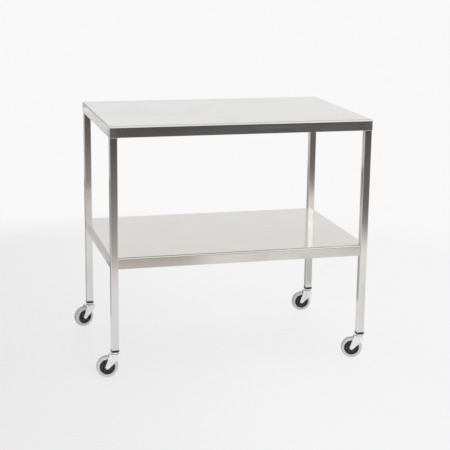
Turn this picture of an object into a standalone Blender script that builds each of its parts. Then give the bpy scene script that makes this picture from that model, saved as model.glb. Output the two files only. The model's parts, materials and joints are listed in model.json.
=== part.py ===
# Instrument back table: a stainless work top over an under-shelf, on square legs with swivel casters.
# Lengths are in metres. +X runs along the table, +Y to its rear, +Z up from the floor.

import math

import bmesh
import bpy
from mathutils import Matrix

# Table
TOP_LENGTH = 0.9144
TOP_WIDTH = 0.6096
TOP_HEIGHT = 0.8636
SHELF_HEIGHT = 0.4191
SHEET = 0.0015
TOP_APRON = 0.0381
SHELF_APRON = 0.0381
RETURN_FLANGE = 0.0127
BEND_RADIUS = 0.0064
MITRE_RADIUS = 0.0006
SHELF_SETBACK = 0.0005

# Legs
LEG_SIZE = 0.0254
LEG_WALL = 0.0015
LEG_CORNER = 0.0025
LEG_BORE_CORNER = 0.0010

# Hat-section stiffeners under the top and the shelf
HAT_CROWN = 0.040
HAT_DEPTH = 0.019
HAT_RIM = 0.016
HAT_END_GAP = 0.0007

# Caster inserts and stems
INSERT_FLANGE = 0.0070
INSERT_PROUD = 0.0010
INSERT_DEPTH = 0.040
STEM_RADIUS = 0.0055
STEM_LENGTH = 0.038
STEM_CHAMFER = 0.0010
NECK_RADIUS = 0.0040
RIVET_RADIUS = 0.0068
RIVET_THICKNESS = 0.0018
RIVET_CLEARANCE = 0.0006
WASHER_RADIUS = 0.0100
WASHER_THICKNESS = 0.0014

# Swivel race
CUP_RADIUS = 0.0150
CUP_WALL = 0.0014
CUP_ROOF = 0.0026
CUP_SHOULDER = 0.0024
CUP_RIM_GAP = 0.0026
BALL_DIAMETER = 0.0036
BALL_COUNT = 8
CAGE_SHARE = 0.55

# Fork
FORK_SHEET = 0.0025
FORK_BEND = 0.0040
FORK_REAR = 0.0187
FORK_FRONT = 0.0130
FORK_KNEE_DROP = 0.0130
FORK_KNEE_RADIUS = 0.0080
FORK_EYE_RADIUS = 0.0068
WHEEL_SIDE_GAP = 0.0012

# Wheel
WHEEL_DIAMETER = 0.075
TYRE_WIDTH = 0.024
TRAIL = 0.0265
TREAD_DROP = 0.0012
SHOULDER_RADIUS = 0.0042
HUB_RADIUS = 0.0266
HUB_RIM_WALL = 0.0040
HUB_RIM_INSET = 0.0015
HUB_WEB = 0.0040
HUB_BOSS_WALL = 0.0035
HUB_KEY_HEIGHT = 0.0018
HUB_KEY_WIDTH = 0.0070
HUB_RING_RADIUS = 0.0172
HUB_RING_WIDTH = 0.0018
HUB_RING_INSET = 0.0045
SPOKE_COUNT = 5
SPOKE_WIDTH = 0.0030
SPOKE_INSET = 0.0035

# Axle
AXLE_RADIUS = 0.0040
SLEEVE_WALL = 0.0013
BUSH_WALL = 0.0013
BUSH_INSET = 0.0005
AXLE_HEAD_RADIUS = 0.0056
AXLE_HEAD_THICKNESS = 0.0022
AXLE_CHAMFER = 0.0006
NUT_FLATS = 0.0130
NUT_THICKNESS = 0.0048

# Clearance between pieces that meet
FIT = 0.0003

# Facets
ARC_STEPS = 4
CORNER_STEPS = 3
FINE_SIDES = 28
HUB_SIDES = 20
CUP_SIDES = 16
PIN_SIDES = 12
CAGE_SIDES = 6

# Direction in which each caster trails at rest, as a turn of its fork about the stem
REST_SWIVEL = {
    "front_left": math.radians(-6),
    "rear_left": math.radians(21),
    "front_right": math.radians(-17),
    "rear_right": math.radians(-6),
}
CORNER_SIGNS = {
    "front_left": (-1, -1),
    "rear_left": (-1, 1),
    "front_right": (1, -1),
    "rear_right": (1, 1),
}

# Places that follow from the sizes above
LEG_INSET = SHEET + FIT
TOP_CORNER = LEG_CORNER + SHEET
LEG_AXIS_X = TOP_LENGTH / 2 - LEG_INSET - LEG_SIZE / 2
LEG_AXIS_Y = TOP_WIDTH / 2 - LEG_INSET - LEG_SIZE / 2
LEG_HEAD_Z = TOP_HEIGHT - BEND_RADIUS - FIT

AXLE_Z = WHEEL_DIAMETER / 2
RIVET_FOOT_Z = WHEEL_DIAMETER + RIVET_CLEARANCE
RIVET_TOP_Z = RIVET_FOOT_Z + RIVET_THICKNESS
WASHER_Z = RIVET_TOP_Z + FIT
CROWN_Z = WASHER_Z + WASHER_THICKNESS + FIT
CROWN_TOP_Z = CROWN_Z + FORK_SHEET
BALL_Z = CROWN_TOP_Z + FIT
RACE_Z = BALL_Z + BALL_DIAMETER + FIT
CUP_TOP_Z = RACE_Z + CUP_ROOF
FLANGE_Z = CUP_TOP_Z + FIT
LEG_FOOT_Z = FLANGE_Z + INSERT_FLANGE + FIT

FORK_GAP_HALF = TYRE_WIDTH / 2 + WHEEL_SIDE_GAP
FORK_HALF = FORK_GAP_HALF + FORK_SHEET
HUB_HALF = FORK_GAP_HALF - FIT
SLEEVE_BORE = AXLE_RADIUS + FIT
SLEEVE_RADIUS = SLEEVE_BORE + SLEEVE_WALL
BUSH_BORE = SLEEVE_RADIUS + FIT
BUSH_RADIUS = BUSH_BORE + BUSH_WALL
HUB_BORE = BUSH_RADIUS + FIT
HUB_BOSS = HUB_BORE + HUB_BOSS_WALL

# The casters trail past the left end, so the table stands off the middle of its own floor print
TABLE_SHIFT_X = (TRAIL + WHEEL_DIAMETER / 2 - (TOP_LENGTH / 2 - LEG_AXIS_X)) / 2


def clear_scene():
    for item in list(bpy.data.objects):
        bpy.data.objects.remove(item)


def make_material(name, colour, metallic, roughness):
    material = bpy.data.materials.new(name)
    material.use_nodes = True
    shader = material.node_tree.nodes["Principled BSDF"]
    shader.inputs["Base Color"].default_value = (*colour, 1.0)
    shader.inputs["Metallic"].default_value = metallic
    shader.inputs["Roughness"].default_value = roughness
    return material


def make_empty(name, parent, location, turn=0.0):
    empty = bpy.data.objects.new(name, None)
    bpy.context.collection.objects.link(empty)
    empty.parent = parent
    empty.location = location
    empty.rotation_euler = (0.0, 0.0, turn)
    return empty


def make_object(name, mesh, material, parent, location=(0.0, 0.0, 0.0)):
    item = bpy.data.objects.new(name, mesh)
    bpy.context.collection.objects.link(item)
    item.parent = parent
    item.location = location
    if not mesh.materials:
        mesh.materials.append(material)
    return item


def finish_mesh(name, bm, crease_degrees=30.0):
    bmesh.ops.recalc_face_normals(bm, faces=bm.faces)
    mesh = bpy.data.meshes.new(name)
    bm.to_mesh(mesh)
    bm.free()
    mesh.shade_smooth()
    mesh.set_sharp_from_angle(angle=math.radians(crease_degrees))
    return mesh


def combine(name, base, tool, operation):
    """Boolean of two meshes, returned as a new mesh."""
    target = make_object(name, base, None, None)
    cutter = make_object(name + "_tool", tool, None, None)
    modifier = target.modifiers.new("combine", 'BOOLEAN')
    modifier.operation = operation
    modifier.solver = 'EXACT'
    modifier.object = cutter
    solved = target.evaluated_get(bpy.context.evaluated_depsgraph_get())
    bm = bmesh.new()
    bm.from_mesh(solved.to_mesh())
    for item in (target, cutter):
        bpy.data.objects.remove(item)
    return finish_mesh(name, bm)


# Outlines and rings of points

def arc(centre, radius, start_degrees, end_degrees, steps):
    """Points along an arc in a plane, both ends included."""
    points = []
    for step in range(steps + 1):
        angle = math.radians(start_degrees + (end_degrees - start_degrees) * step / steps)
        points.append((centre[0] + radius * math.cos(angle), centre[1] + radius * math.sin(angle)))
    return points


def circle_ring(radius, z, sides):
    """A level circle whose facets, not its corners, face the axes."""
    ring = []
    for side in range(sides):
        angle = math.tau * (side + 0.5) / sides
        ring.append((radius * math.cos(angle), radius * math.sin(angle), z))
    return ring


def hexagon_ring(flats, z, sides):
    """A level hexagon with extra points along its sides, so that it matches a circle's count."""
    ring = []
    for side in range(sides):
        angle = math.tau * (side + 0.5) / sides
        off_flat = (angle % (math.pi / 3)) - math.pi / 6
        reach = flats / 2 / math.cos(off_flat)
        ring.append((reach * math.cos(angle), reach * math.sin(angle), z))
    return ring


def rounded_ring(half_x, half_y, radius, z, stops=None):
    """A level rounded rectangle, anticlockwise, with two extra stops on each side if given."""
    ring = []
    for quarter in range(4):
        sign_x = (1, -1, -1, 1)[quarter]
        sign_y = (1, 1, -1, -1)[quarter]
        centre = (sign_x * (half_x - radius), sign_y * (half_y - radius))
        for x, y in arc(centre, radius, quarter * 90, quarter * 90 + 90, CORNER_STEPS):
            ring.append((x, y, z))
        if stops is None:
            continue
        stop_x, stop_y = stops
        if quarter in (0, 2):
            ring.append((sign_x * stop_x, sign_y * half_y, z))
            ring.append((-sign_x * stop_x, sign_y * half_y, z))
        else:
            ring.append((sign_x * half_x, sign_y * stop_y, z))
            ring.append((sign_x * half_x, -sign_y * stop_y, z))
    return ring


def add_ring(bm, points):
    return [bm.verts.new(point) for point in points]


def join_rings(bm, upper, lower, wanted=None):
    """Quads between two rings, on the wanted segments or on all of them."""
    count = len(upper)
    for here in range(count):
        if wanted is not None and here not in wanted:
            continue
        after = (here + 1) % count
        bm.faces.new((upper[here], lower[here], lower[after], upper[after]))


def ring_solid(name, point_rings, bored):
    """A closed solid through a chain of rings: capped at both ends, or joined round a bore."""
    bm = bmesh.new()
    rings = [add_ring(bm, points) for points in point_rings]
    for upper, lower in zip(rings, rings[1:]):
        join_rings(bm, upper, lower)
    if bored:
        join_rings(bm, rings[-1], rings[0])
    else:
        bm.faces.new(rings[0])
        bm.faces.new(reversed(rings[-1]))
    return finish_mesh(name, bm)


def turned(name, profile, sides, bored):
    """A solid turned about Z from a profile of (radius, z), read from the top down its outer side."""
    return ring_solid(name, [circle_ring(radius, z, sides) for radius, z in profile], bored)


def prism(name, outline, low, high, along):
    """An outline of two coordinates, extruded along X or Y."""
    bm = bmesh.new()
    corners = []
    for across, z in outline:
        point = (low, across, z) if along == "X" else (across, low, z)
        corners.append(bm.verts.new(point))
    face = bm.faces.new(corners)
    grown = bmesh.ops.extrude_face_region(bm, geom=[face])
    moved = [item for item in grown["geom"] if isinstance(item, bmesh.types.BMVert)]
    offset = (high - low, 0.0, 0.0) if along == "X" else (0.0, high - low, 0.0)
    bmesh.ops.translate(bm, verts=moved, vec=offset)
    return finish_mesh(name, bm)


def laid_on_axle(mesh):
    """Turn a solid from the Z axis to the Y axis, which is the axle's."""
    mesh.transform(Matrix.Rotation(math.radians(-90), 4, 'X'))
    return mesh


# Folded sheets

def bend_profile(height):
    """The bend over an edge as (inset, z): its outer arc going down and its inner arc going up."""
    centre = (BEND_RADIUS, height - BEND_RADIUS)
    outer = arc(centre, BEND_RADIUS, 90, 180, ARC_STEPS)
    inner = arc(centre, BEND_RADIUS - SHEET, 180, 90, ARC_STEPS)
    return outer, inner


def table_top_mesh():
    """The work surface with aprons all round and return flanges between the legs."""
    outer, inner = bend_profile(TOP_HEIGHT)
    rim_z = TOP_HEIGHT - TOP_APRON
    half_x = TOP_LENGTH / 2
    half_y = TOP_WIDTH / 2
    leg_reach = LEG_INSET + LEG_SIZE + FIT
    stops = (half_x - leg_reach, half_y - leg_reach)
    bm = bmesh.new()

    def ring(inset, z):
        radius = max(TOP_CORNER - inset, MITRE_RADIUS)
        return add_ring(bm, rounded_ring(half_x - inset, half_y - inset, radius, z, stops))

    outside = [ring(inset, z) for inset, z in outer] + [ring(0.0, rim_z)]
    rim_inside = ring(SHEET, rim_z)
    return_root = ring(SHEET, rim_z + SHEET)
    inside = [return_root] + [ring(inset, z) for inset, z in inner]
    for chain in (outside, inside):
        for upper, lower in zip(chain, chain[1:]):
            join_rings(bm, upper, lower)
    join_rings(bm, outside[-1], rim_inside)
    bm.faces.new(outside[0])
    bm.faces.new(reversed(inside[-1]))

    per_corner = CORNER_STEPS + 3
    flange_starts = [corner * per_corner + CORNER_STEPS + 1 for corner in range(4)]
    plain = set(range(4 * per_corner)) - set(flange_starts)
    join_rings(bm, rim_inside, return_root, plain)
    for start in flange_starts:
        end = start + 1
        tips = []
        for index in (start, end):
            x, y, _ = rim_inside[index].co
            if abs(abs(x) - (half_x - SHEET)) < FIT:
                tip_x = math.copysign(half_x - RETURN_FLANGE, x)
                tip_y = y
            else:
                tip_x = x
                tip_y = math.copysign(half_y - RETURN_FLANGE, y)
            low = bm.verts.new((tip_x, tip_y, rim_z))
            high = bm.verts.new((tip_x, tip_y, rim_z + SHEET))
            tips.append((low, high))
        (low_a, high_a), (low_b, high_b) = tips
        bm.faces.new((rim_inside[start], low_a, low_b, rim_inside[end]))
        bm.faces.new((low_a, high_a, high_b, low_b))
        bm.faces.new((high_a, return_root[start], return_root[end], high_b))
        bm.faces.new((rim_inside[start], return_root[start], high_a, low_a))
        bm.faces.new((rim_inside[end], low_b, high_b, return_root[end]))
    return finish_mesh("table_top", bm)


def shelf_mesh():
    """A pan notched at its corners, with aprons and return flanges on the four sides between the legs."""
    outer, inner = bend_profile(SHELF_HEIGHT)
    rim_z = SHELF_HEIGHT - SHELF_APRON
    profile = list(outer)
    profile += [(0.0, rim_z), (RETURN_FLANGE, rim_z), (RETURN_FLANGE, rim_z + SHEET), (SHEET, rim_z + SHEET)]
    profile += inner
    half_x = TOP_LENGTH / 2 - LEG_INSET - SHELF_SETBACK
    half_y = TOP_WIDTH / 2 - LEG_INSET - SHELF_SETBACK
    notch = LEG_SIZE - SHELF_SETBACK + FIT
    bm = bmesh.new()
    top_outline = []
    under_outline = []
    side_ends = []
    for normal_x, normal_y in ((0, -1), (1, 0), (0, 1), (-1, 0)):
        reach = half_x if normal_x else half_y
        run = (half_y if normal_x else half_x) - notch
        chains = []
        for along in (-run, run):
            chain = []
            for inset, z in profile:
                x = normal_x * (reach - inset) - normal_y * along
                y = normal_y * (reach - inset) + normal_x * along
                chain.append(bm.verts.new((x, y, z)))
            chains.append(chain)
        start, end = chains
        for here in range(len(profile) - 1):
            bm.faces.new((start[here], start[here + 1], end[here + 1], end[here]))
        bm.faces.new(start)
        bm.faces.new(reversed(end))
        side_ends.append((start, end))
        top_outline += [start[0], end[0]]
        under_outline += [start[-1], end[-1]]
        corner_x = (half_x - notch) * (normal_x - normal_y)
        corner_y = (half_y - notch) * (normal_x + normal_y)
        top_outline.append(bm.verts.new((corner_x, corner_y, SHELF_HEIGHT)))
        under_outline.append(bm.verts.new((corner_x, corner_y, SHELF_HEIGHT - SHEET)))
    bm.faces.new(top_outline)
    bm.faces.new(reversed(under_outline))
    count = len(top_outline)
    for here in range(count):
        after = (here + 1) % count
        if here % 3 == 0:
            continue
        bm.faces.new((top_outline[here], under_outline[here], under_outline[after], top_outline[after]))
    return finish_mesh("shelf", bm)


def hat_channel_mesh(name, plate_underside, length):
    """A hat section under a plate: rims against the plate, crown hanging below it."""
    rim_z = plate_underside - FIT
    crown = HAT_CROWN / 2
    edge = crown + HAT_RIM
    foot_z = rim_z - HAT_DEPTH
    outline = [
        (-edge, rim_z), (SHEET - crown, rim_z), (SHEET - crown, foot_z + SHEET),
        (crown - SHEET, foot_z + SHEET), (crown - SHEET, rim_z), (edge, rim_z),
        (edge, rim_z - SHEET), (crown, rim_z - SHEET), (crown, foot_z),
        (-crown, foot_z), (-crown, rim_z - SHEET), (-edge, rim_z - SHEET),
    ]
    return prism(name, outline, -length / 2, length / 2, "X")


def leg_mesh():
    """A square tube, open at both ends."""
    half = LEG_SIZE / 2
    bore = half - LEG_WALL
    rings = [
        rounded_ring(half, half, LEG_CORNER, LEG_HEAD_Z),
        rounded_ring(half, half, LEG_CORNER, LEG_FOOT_Z),
        rounded_ring(bore, bore, LEG_BORE_CORNER, LEG_FOOT_Z),
        rounded_ring(bore, bore, LEG_BORE_CORNER, LEG_HEAD_Z),
    ]
    return ring_solid("leg", rings, True)


# Caster pieces about the stem

def insert_mesh():
    """The moulded plug in the leg's foot, with its square flange and the bore for the stem."""
    flange = LEG_SIZE / 2 + INSERT_PROUD
    corner = LEG_CORNER + INSERT_PROUD
    body = LEG_SIZE / 2 - LEG_WALL - FIT
    body_top = LEG_FOOT_Z + INSERT_DEPTH
    flange_top = FLANGE_Z + INSERT_FLANGE
    bore = STEM_RADIUS + FIT
    sides = 4 * (CORNER_STEPS + 1)
    rings = [
        rounded_ring(body, body, LEG_BORE_CORNER, body_top),
        rounded_ring(body, body, LEG_BORE_CORNER, flange_top),
        rounded_ring(flange, flange, corner, flange_top),
        rounded_ring(flange, flange, corner, FLANGE_Z),
        circle_ring(bore, FLANGE_Z, sides),
        circle_ring(bore, body_top, sides),
    ]
    return ring_solid("insert", rings, True)


def stem_mesh():
    """The stem in the insert, its neck through the fork crown, and its riveted foot."""
    top_z = FLANGE_Z + STEM_LENGTH
    profile = [
        (STEM_RADIUS - STEM_CHAMFER, top_z),
        (STEM_RADIUS, top_z - STEM_CHAMFER),
        (STEM_RADIUS, CROWN_TOP_Z + FIT),
        (NECK_RADIUS, CROWN_TOP_Z + FIT),
        (NECK_RADIUS, RIVET_TOP_Z),
        (RIVET_RADIUS, RIVET_TOP_Z),
        (NECK_RADIUS, RIVET_FOOT_Z),
    ]
    return turned("stem", profile, PIN_SIDES, False)


def race_cup_mesh():
    """The domed cup over the balls, with its skirt down to the dark gap above the fork crown."""
    bore = STEM_RADIUS + FIT
    skirt = CUP_RADIUS - CUP_WALL
    rim_z = CROWN_TOP_Z + CUP_RIM_GAP
    profile = [
        (bore, CUP_TOP_Z),
        (CUP_RADIUS - CUP_SHOULDER, CUP_TOP_Z),
        (CUP_RADIUS, CUP_TOP_Z - CUP_SHOULDER),
        (CUP_RADIUS, rim_z),
        (skirt, rim_z),
        (skirt, RACE_Z),
        (bore, RACE_Z),
    ]
    return turned("race_cup", profile, CUP_SIDES, True)


def ball_ring_mesh():
    """The balls in their cage: a ring that swells at each ball."""
    circle = (STEM_RADIUS + CUP_RADIUS - CUP_WALL) / 2
    centre_z = BALL_Z + BALL_DIAMETER / 2
    bm = bmesh.new()
    sections = []
    for step in range(2 * BALL_COUNT):
        radius = BALL_DIAMETER / 2 * (1.0 if step % 2 == 0 else CAGE_SHARE)
        turn = math.tau * step / (2 * BALL_COUNT)
        section = []
        for out, z in arc((circle, centre_z), radius, 90, 450, CAGE_SIDES)[:-1]:
            section.append((out * math.cos(turn), out * math.sin(turn), z))
        sections.append(add_ring(bm, section))
    for here, section in enumerate(sections):
        join_rings(bm, section, sections[(here + 1) % len(sections)])
    return finish_mesh("ball_ring", bm)


def washer_mesh():
    """The thrust washer between the fork crown and the stem's riveted foot."""
    bore = NECK_RADIUS + FIT
    top_z = WASHER_Z + WASHER_THICKNESS
    profile = [(WASHER_RADIUS, top_z), (WASHER_RADIUS, WASHER_Z), (bore, WASHER_Z), (bore, top_z)]
    return turned("washer", profile, PIN_SIDES, True)


def tangent_angle(point, centre, radius, side):
    """Angle at which the line from a point touches a circle, on its left (1) or right (-1) side."""
    away = (point[0] - centre[0], point[1] - centre[1])
    spread = math.acos(radius / math.hypot(*away))
    return math.degrees(math.atan2(away[1], away[0]) + side * spread)


def fork_outline():
    """The fork's side view: a wide crown, a knee at the front and a round eye at the axle."""
    eye = (-TRAIL, AXLE_Z)
    rear_top = (-FORK_REAR, CROWN_TOP_Z)
    front_top = (FORK_FRONT, CROWN_TOP_Z)
    knee = (FORK_FRONT, CROWN_Z - FORK_KNEE_DROP)
    rear_touch = tangent_angle(rear_top, eye, FORK_EYE_RADIUS, 1)
    front_touch = tangent_angle(knee, eye, FORK_EYE_RADIUS, -1)
    eye_arc = arc(eye, FORK_EYE_RADIUS, rear_touch, front_touch + 360, 2 * ARC_STEPS)
    slope = front_touch + 90
    half_turn = math.radians(90 - slope) / 2
    knee_centre_z = knee[1] + FORK_KNEE_RADIUS * math.tan(half_turn)
    knee_centre = (FORK_FRONT - FORK_KNEE_RADIUS, knee_centre_z)
    knee_arc = arc(knee_centre, FORK_KNEE_RADIUS, front_touch, 0, ARC_STEPS)
    return [rear_top] + eye_arc + knee_arc + [front_top]


def fork_section():
    """The fork's end view: a channel with rounded shoulders, open at the bottom."""
    foot_z = AXLE_Z - 2 * FORK_EYE_RADIUS
    outer_y = FORK_HALF - FORK_BEND
    outer_z = CROWN_TOP_Z - FORK_BEND
    bend_in = FORK_BEND - FORK_SHEET
    right_outer = arc((outer_y, outer_z), FORK_BEND, 0, 90, ARC_STEPS)
    left_outer = arc((-outer_y, outer_z), FORK_BEND, 90, 180, ARC_STEPS)
    left_inner = arc((-outer_y, outer_z), bend_in, 180, 90, ARC_STEPS)
    right_inner = arc((outer_y, outer_z), bend_in, 90, 0, ARC_STEPS)
    feet_left = [(-FORK_HALF, foot_z), (-FORK_GAP_HALF, foot_z)]
    feet_right = [(FORK_GAP_HALF, foot_z), (FORK_HALF, foot_z)]
    return right_outer + left_outer + feet_left + left_inner + right_inner + feet_right


def fork_mesh():
    """The pressed fork: the channel trimmed to its side view, then drilled for stem and axle."""
    margin = FORK_EYE_RADIUS
    channel = prism("fork", fork_section(), -TRAIL - 2 * margin, FORK_FRONT + margin, "X")
    trim = prism("fork_trim", fork_outline(), -FORK_HALF - margin, FORK_HALF + margin, "Y")
    blank = combine("fork", channel, trim, 'INTERSECT')
    stem_profile = [(NECK_RADIUS + FIT, CROWN_TOP_Z + margin), (NECK_RADIUS + FIT, CROWN_Z - margin)]
    drilled = combine("fork", blank, turned("stem_drill", stem_profile, PIN_SIDES, False), 'DIFFERENCE')
    axle_profile = [(SLEEVE_BORE, FORK_HALF + margin), (SLEEVE_BORE, -FORK_HALF - margin)]
    axle_drill = laid_on_axle(turned("axle_drill", axle_profile, PIN_SIDES, False))
    axle_drill.transform(Matrix.Translation((-TRAIL, 0.0, AXLE_Z)))
    return combine("fork", drilled, axle_drill, 'DIFFERENCE')


# Caster pieces about the axle

def tyre_mesh():
    """The tyre: a shallow crowned tread, round shoulders and a groove that keys it to the hub."""
    radius = WHEEL_DIAMETER / 2
    half = TYRE_WIDTH / 2
    bore = HUB_RADIUS + FIT
    groove = bore + HUB_KEY_HEIGHT
    key = HUB_KEY_WIDTH / 2 + FIT
    shoulder = arc((radius - TREAD_DROP - SHOULDER_RADIUS, half - SHOULDER_RADIUS), SHOULDER_RADIUS, 90, 0, 2)
    upper = [(bore, half - HUB_RIM_INSET + FIT)] + shoulder + [(radius, 0.0)]
    lower = [(r, -z) for r, z in reversed(upper[:-1])]
    inside = [(bore, -key), (groove, -key), (groove, key), (bore, key)]
    return laid_on_axle(turned("tyre", upper + lower + inside, FINE_SIDES, True))


def hub_mesh():
    """The moulded hub: boss, web with a raised ring, spokes through it, and a keyed rim."""
    rim_half = TYRE_WIDTH / 2 - HUB_RIM_INSET
    rim_bore = HUB_RADIUS - HUB_RIM_WALL
    web = HUB_WEB / 2
    ring_half = TYRE_WIDTH / 2 - HUB_RING_INSET
    ring_out = HUB_RING_RADIUS + HUB_RING_WIDTH / 2
    ring_in = HUB_RING_RADIUS - HUB_RING_WIDTH / 2
    key = HUB_KEY_WIDTH / 2
    face = [
        (HUB_BORE, HUB_HALF), (HUB_BOSS, HUB_HALF), (HUB_BOSS, web), (ring_in, web), (ring_in, ring_half),
        (ring_out, ring_half), (ring_out, web), (rim_bore, web), (rim_bore, rim_half), (HUB_RADIUS, rim_half),
        (HUB_RADIUS, key), (HUB_RADIUS + HUB_KEY_HEIGHT, key),
    ]
    back = [(r, -z) for r, z in reversed(face)]
    wheel = turned("hub", face + back, HUB_SIDES, True)
    bm = bmesh.new()
    inner = (HUB_BORE + HUB_BOSS) / 2
    outer = HUB_RADIUS - HUB_RIM_WALL / 2
    spoke_half = TYRE_WIDTH / 2 - SPOKE_INSET
    for spoke in range(SPOKE_COUNT):
        place = Matrix.Rotation(math.tau * spoke / SPOKE_COUNT, 4, 'Z')
        place = place @ Matrix.Translation(((inner + outer) / 2, 0.0, 0.0))
        place = place @ Matrix.Diagonal((outer - inner, SPOKE_WIDTH, 2 * spoke_half, 1.0))
        bmesh.ops.create_cube(bm, size=1.0, matrix=place)
    spokes = finish_mesh("hub_spokes", bm)
    return laid_on_axle(combine("hub", wheel, spokes, 'UNION'))


def sleeve_mesh(name, bore, radius, half):
    """A plain sleeve on the axle."""
    profile = [(radius, half), (radius, -half), (bore, -half), (bore, half)]
    return laid_on_axle(turned(name, profile, PIN_SIDES, True))


def axle_bolt_mesh():
    """The axle bolt: a low round head on the fork's front side and a chamfered end past its nut."""
    seat = FORK_HALF + FIT
    end = seat + NUT_THICKNESS + AXLE_CHAMFER
    profile = [
        (AXLE_RADIUS - AXLE_CHAMFER, end),
        (AXLE_RADIUS, end - AXLE_CHAMFER),
        (AXLE_RADIUS, -seat),
        (AXLE_HEAD_RADIUS, -seat),
        (AXLE_HEAD_RADIUS, -seat - AXLE_HEAD_THICKNESS / 2),
        (AXLE_RADIUS, -seat - AXLE_HEAD_THICKNESS),
    ]
    return laid_on_axle(turned("axle_bolt", profile, PIN_SIDES, False))


def axle_nut_mesh():
    """The hexagon nut on the fork's rear side."""
    near = FORK_HALF + FIT
    far = near + NUT_THICKNESS
    rings = [
        hexagon_ring(NUT_FLATS, far, PIN_SIDES),
        hexagon_ring(NUT_FLATS, near, PIN_SIDES),
        circle_ring(SLEEVE_BORE, near, PIN_SIDES),
        circle_ring(SLEEVE_BORE, far, PIN_SIDES),
    ]
    return laid_on_axle(ring_solid("axle_nut", rings, True))


def build():
    clear_scene()
    stainless = make_material("brushed_stainless", (0.60, 0.59, 0.57), 1.0, 0.34)
    zinc = make_material("bright_zinc", (0.78, 0.79, 0.80), 1.0, 0.18)
    bearing = make_material("bearing_steel", (0.55, 0.55, 0.56), 1.0, 0.25)
    black = make_material("black_nylon", (0.02, 0.02, 0.022), 0.0, 0.45)
    rubber = make_material("grey_rubber", (0.50, 0.51, 0.52), 0.0, 0.60)
    acetal = make_material("white_acetal", (0.80, 0.80, 0.78), 0.0, 0.40)

    table = make_empty("table_centre", None, (TABLE_SHIFT_X, 0.0, 0.0))
    make_object("table_top", table_top_mesh(), stainless, table)
    make_object("shelf", shelf_mesh(), stainless, table)
    hat_end = RETURN_FLANGE + HAT_END_GAP
    top_hat = hat_channel_mesh("top_stiffener", TOP_HEIGHT - SHEET, TOP_LENGTH - 2 * hat_end)
    make_object("top_stiffener", top_hat, stainless, table)
    shelf_length = TOP_LENGTH - 2 * (LEG_INSET + SHELF_SETBACK + hat_end)
    shelf_hat = hat_channel_mesh("shelf_stiffener", SHELF_HEIGHT - SHEET, shelf_length)
    make_object("shelf_stiffener", shelf_hat, stainless, table)

    sleeve = sleeve_mesh("axle_sleeve", SLEEVE_BORE, SLEEVE_RADIUS, HUB_HALF)
    bush = sleeve_mesh("wheel_bush", BUSH_BORE, BUSH_RADIUS, HUB_HALF - BUSH_INSET)
    fixed_pieces = [
        ("leg", leg_mesh(), stainless), ("insert", insert_mesh(), black), ("stem", stem_mesh(), zinc),
        ("race_cup", race_cup_mesh(), zinc), ("washer", washer_mesh(), zinc),
    ]
    swivel_pieces = [("fork", fork_mesh(), zinc), ("ball_ring", ball_ring_mesh(), bearing)]
    axle_pieces = [
        ("axle_bolt", axle_bolt_mesh(), zinc), ("axle_nut", axle_nut_mesh(), zinc),
        ("axle_sleeve", sleeve, bearing), ("wheel_bush", bush, acetal),
        ("hub", hub_mesh(), black), ("tyre", tyre_mesh(), rubber),
    ]
    for corner, (sign_x, sign_y) in CORNER_SIGNS.items():
        foot = (sign_x * LEG_AXIS_X, sign_y * LEG_AXIS_Y, 0.0)
        for kind, mesh, material in fixed_pieces:
            make_object(f"{kind}_{corner}", mesh, material, table, foot)
        swivel = make_empty(f"swivel_axis_{corner}", table, foot, REST_SWIVEL[corner])
        for kind, mesh, material in swivel_pieces:
            make_object(f"{kind}_{corner}", mesh, material, swivel)
        axle = make_empty(f"axle_axis_{corner}", swivel, (-TRAIL, 0.0, AXLE_Z))
        for kind, mesh, material in axle_pieces:
            make_object(f"{kind}_{corner}", mesh, material, axle)


build()
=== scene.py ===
# %% [markdown]
# # A stainless instrument back table
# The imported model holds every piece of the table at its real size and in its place. This lesson leaves
# that frame as it is and gives the table its looks: each piece is made again with finer bends and rounder
# turnings, takes its place from the frame, and gets a finish of its own. Lengths are in metres, with +Z
# up and the front of the table towards -Y.

# %% Load the frame
import json
import math

import bmesh
import bpy
from mathutils import Matrix, Vector


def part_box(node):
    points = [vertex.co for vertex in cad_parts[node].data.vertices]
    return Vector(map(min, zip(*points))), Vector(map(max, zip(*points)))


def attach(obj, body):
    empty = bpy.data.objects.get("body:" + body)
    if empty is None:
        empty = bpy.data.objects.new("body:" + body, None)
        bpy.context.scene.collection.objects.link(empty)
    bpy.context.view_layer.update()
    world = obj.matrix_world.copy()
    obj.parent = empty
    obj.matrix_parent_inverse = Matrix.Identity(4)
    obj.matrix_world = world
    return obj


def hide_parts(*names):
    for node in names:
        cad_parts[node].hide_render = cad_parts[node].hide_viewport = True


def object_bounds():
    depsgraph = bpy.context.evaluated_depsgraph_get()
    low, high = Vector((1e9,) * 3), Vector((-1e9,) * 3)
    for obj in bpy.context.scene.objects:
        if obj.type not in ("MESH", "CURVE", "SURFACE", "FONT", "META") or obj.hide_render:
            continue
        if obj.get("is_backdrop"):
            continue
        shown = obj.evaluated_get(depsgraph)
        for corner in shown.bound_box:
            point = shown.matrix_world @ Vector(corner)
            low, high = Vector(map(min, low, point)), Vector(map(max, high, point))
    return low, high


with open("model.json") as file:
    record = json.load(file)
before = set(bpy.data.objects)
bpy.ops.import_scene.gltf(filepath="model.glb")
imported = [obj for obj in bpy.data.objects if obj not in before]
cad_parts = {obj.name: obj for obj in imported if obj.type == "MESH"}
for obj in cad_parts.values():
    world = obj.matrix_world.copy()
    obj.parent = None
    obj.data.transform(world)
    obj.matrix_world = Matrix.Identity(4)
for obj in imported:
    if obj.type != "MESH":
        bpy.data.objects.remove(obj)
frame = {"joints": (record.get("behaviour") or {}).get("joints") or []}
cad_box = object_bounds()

scene = bpy.context.scene
SWIVEL = "swivel_turn_"
SPIN = "wheel_spin_"
joints = {joint["name"]: joint for joint in frame["joints"]}
corners = [name.removeprefix(SWIVEL) for name in joints if name.startswith(SWIVEL)]
top_low, top_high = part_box("table_top")
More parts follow.
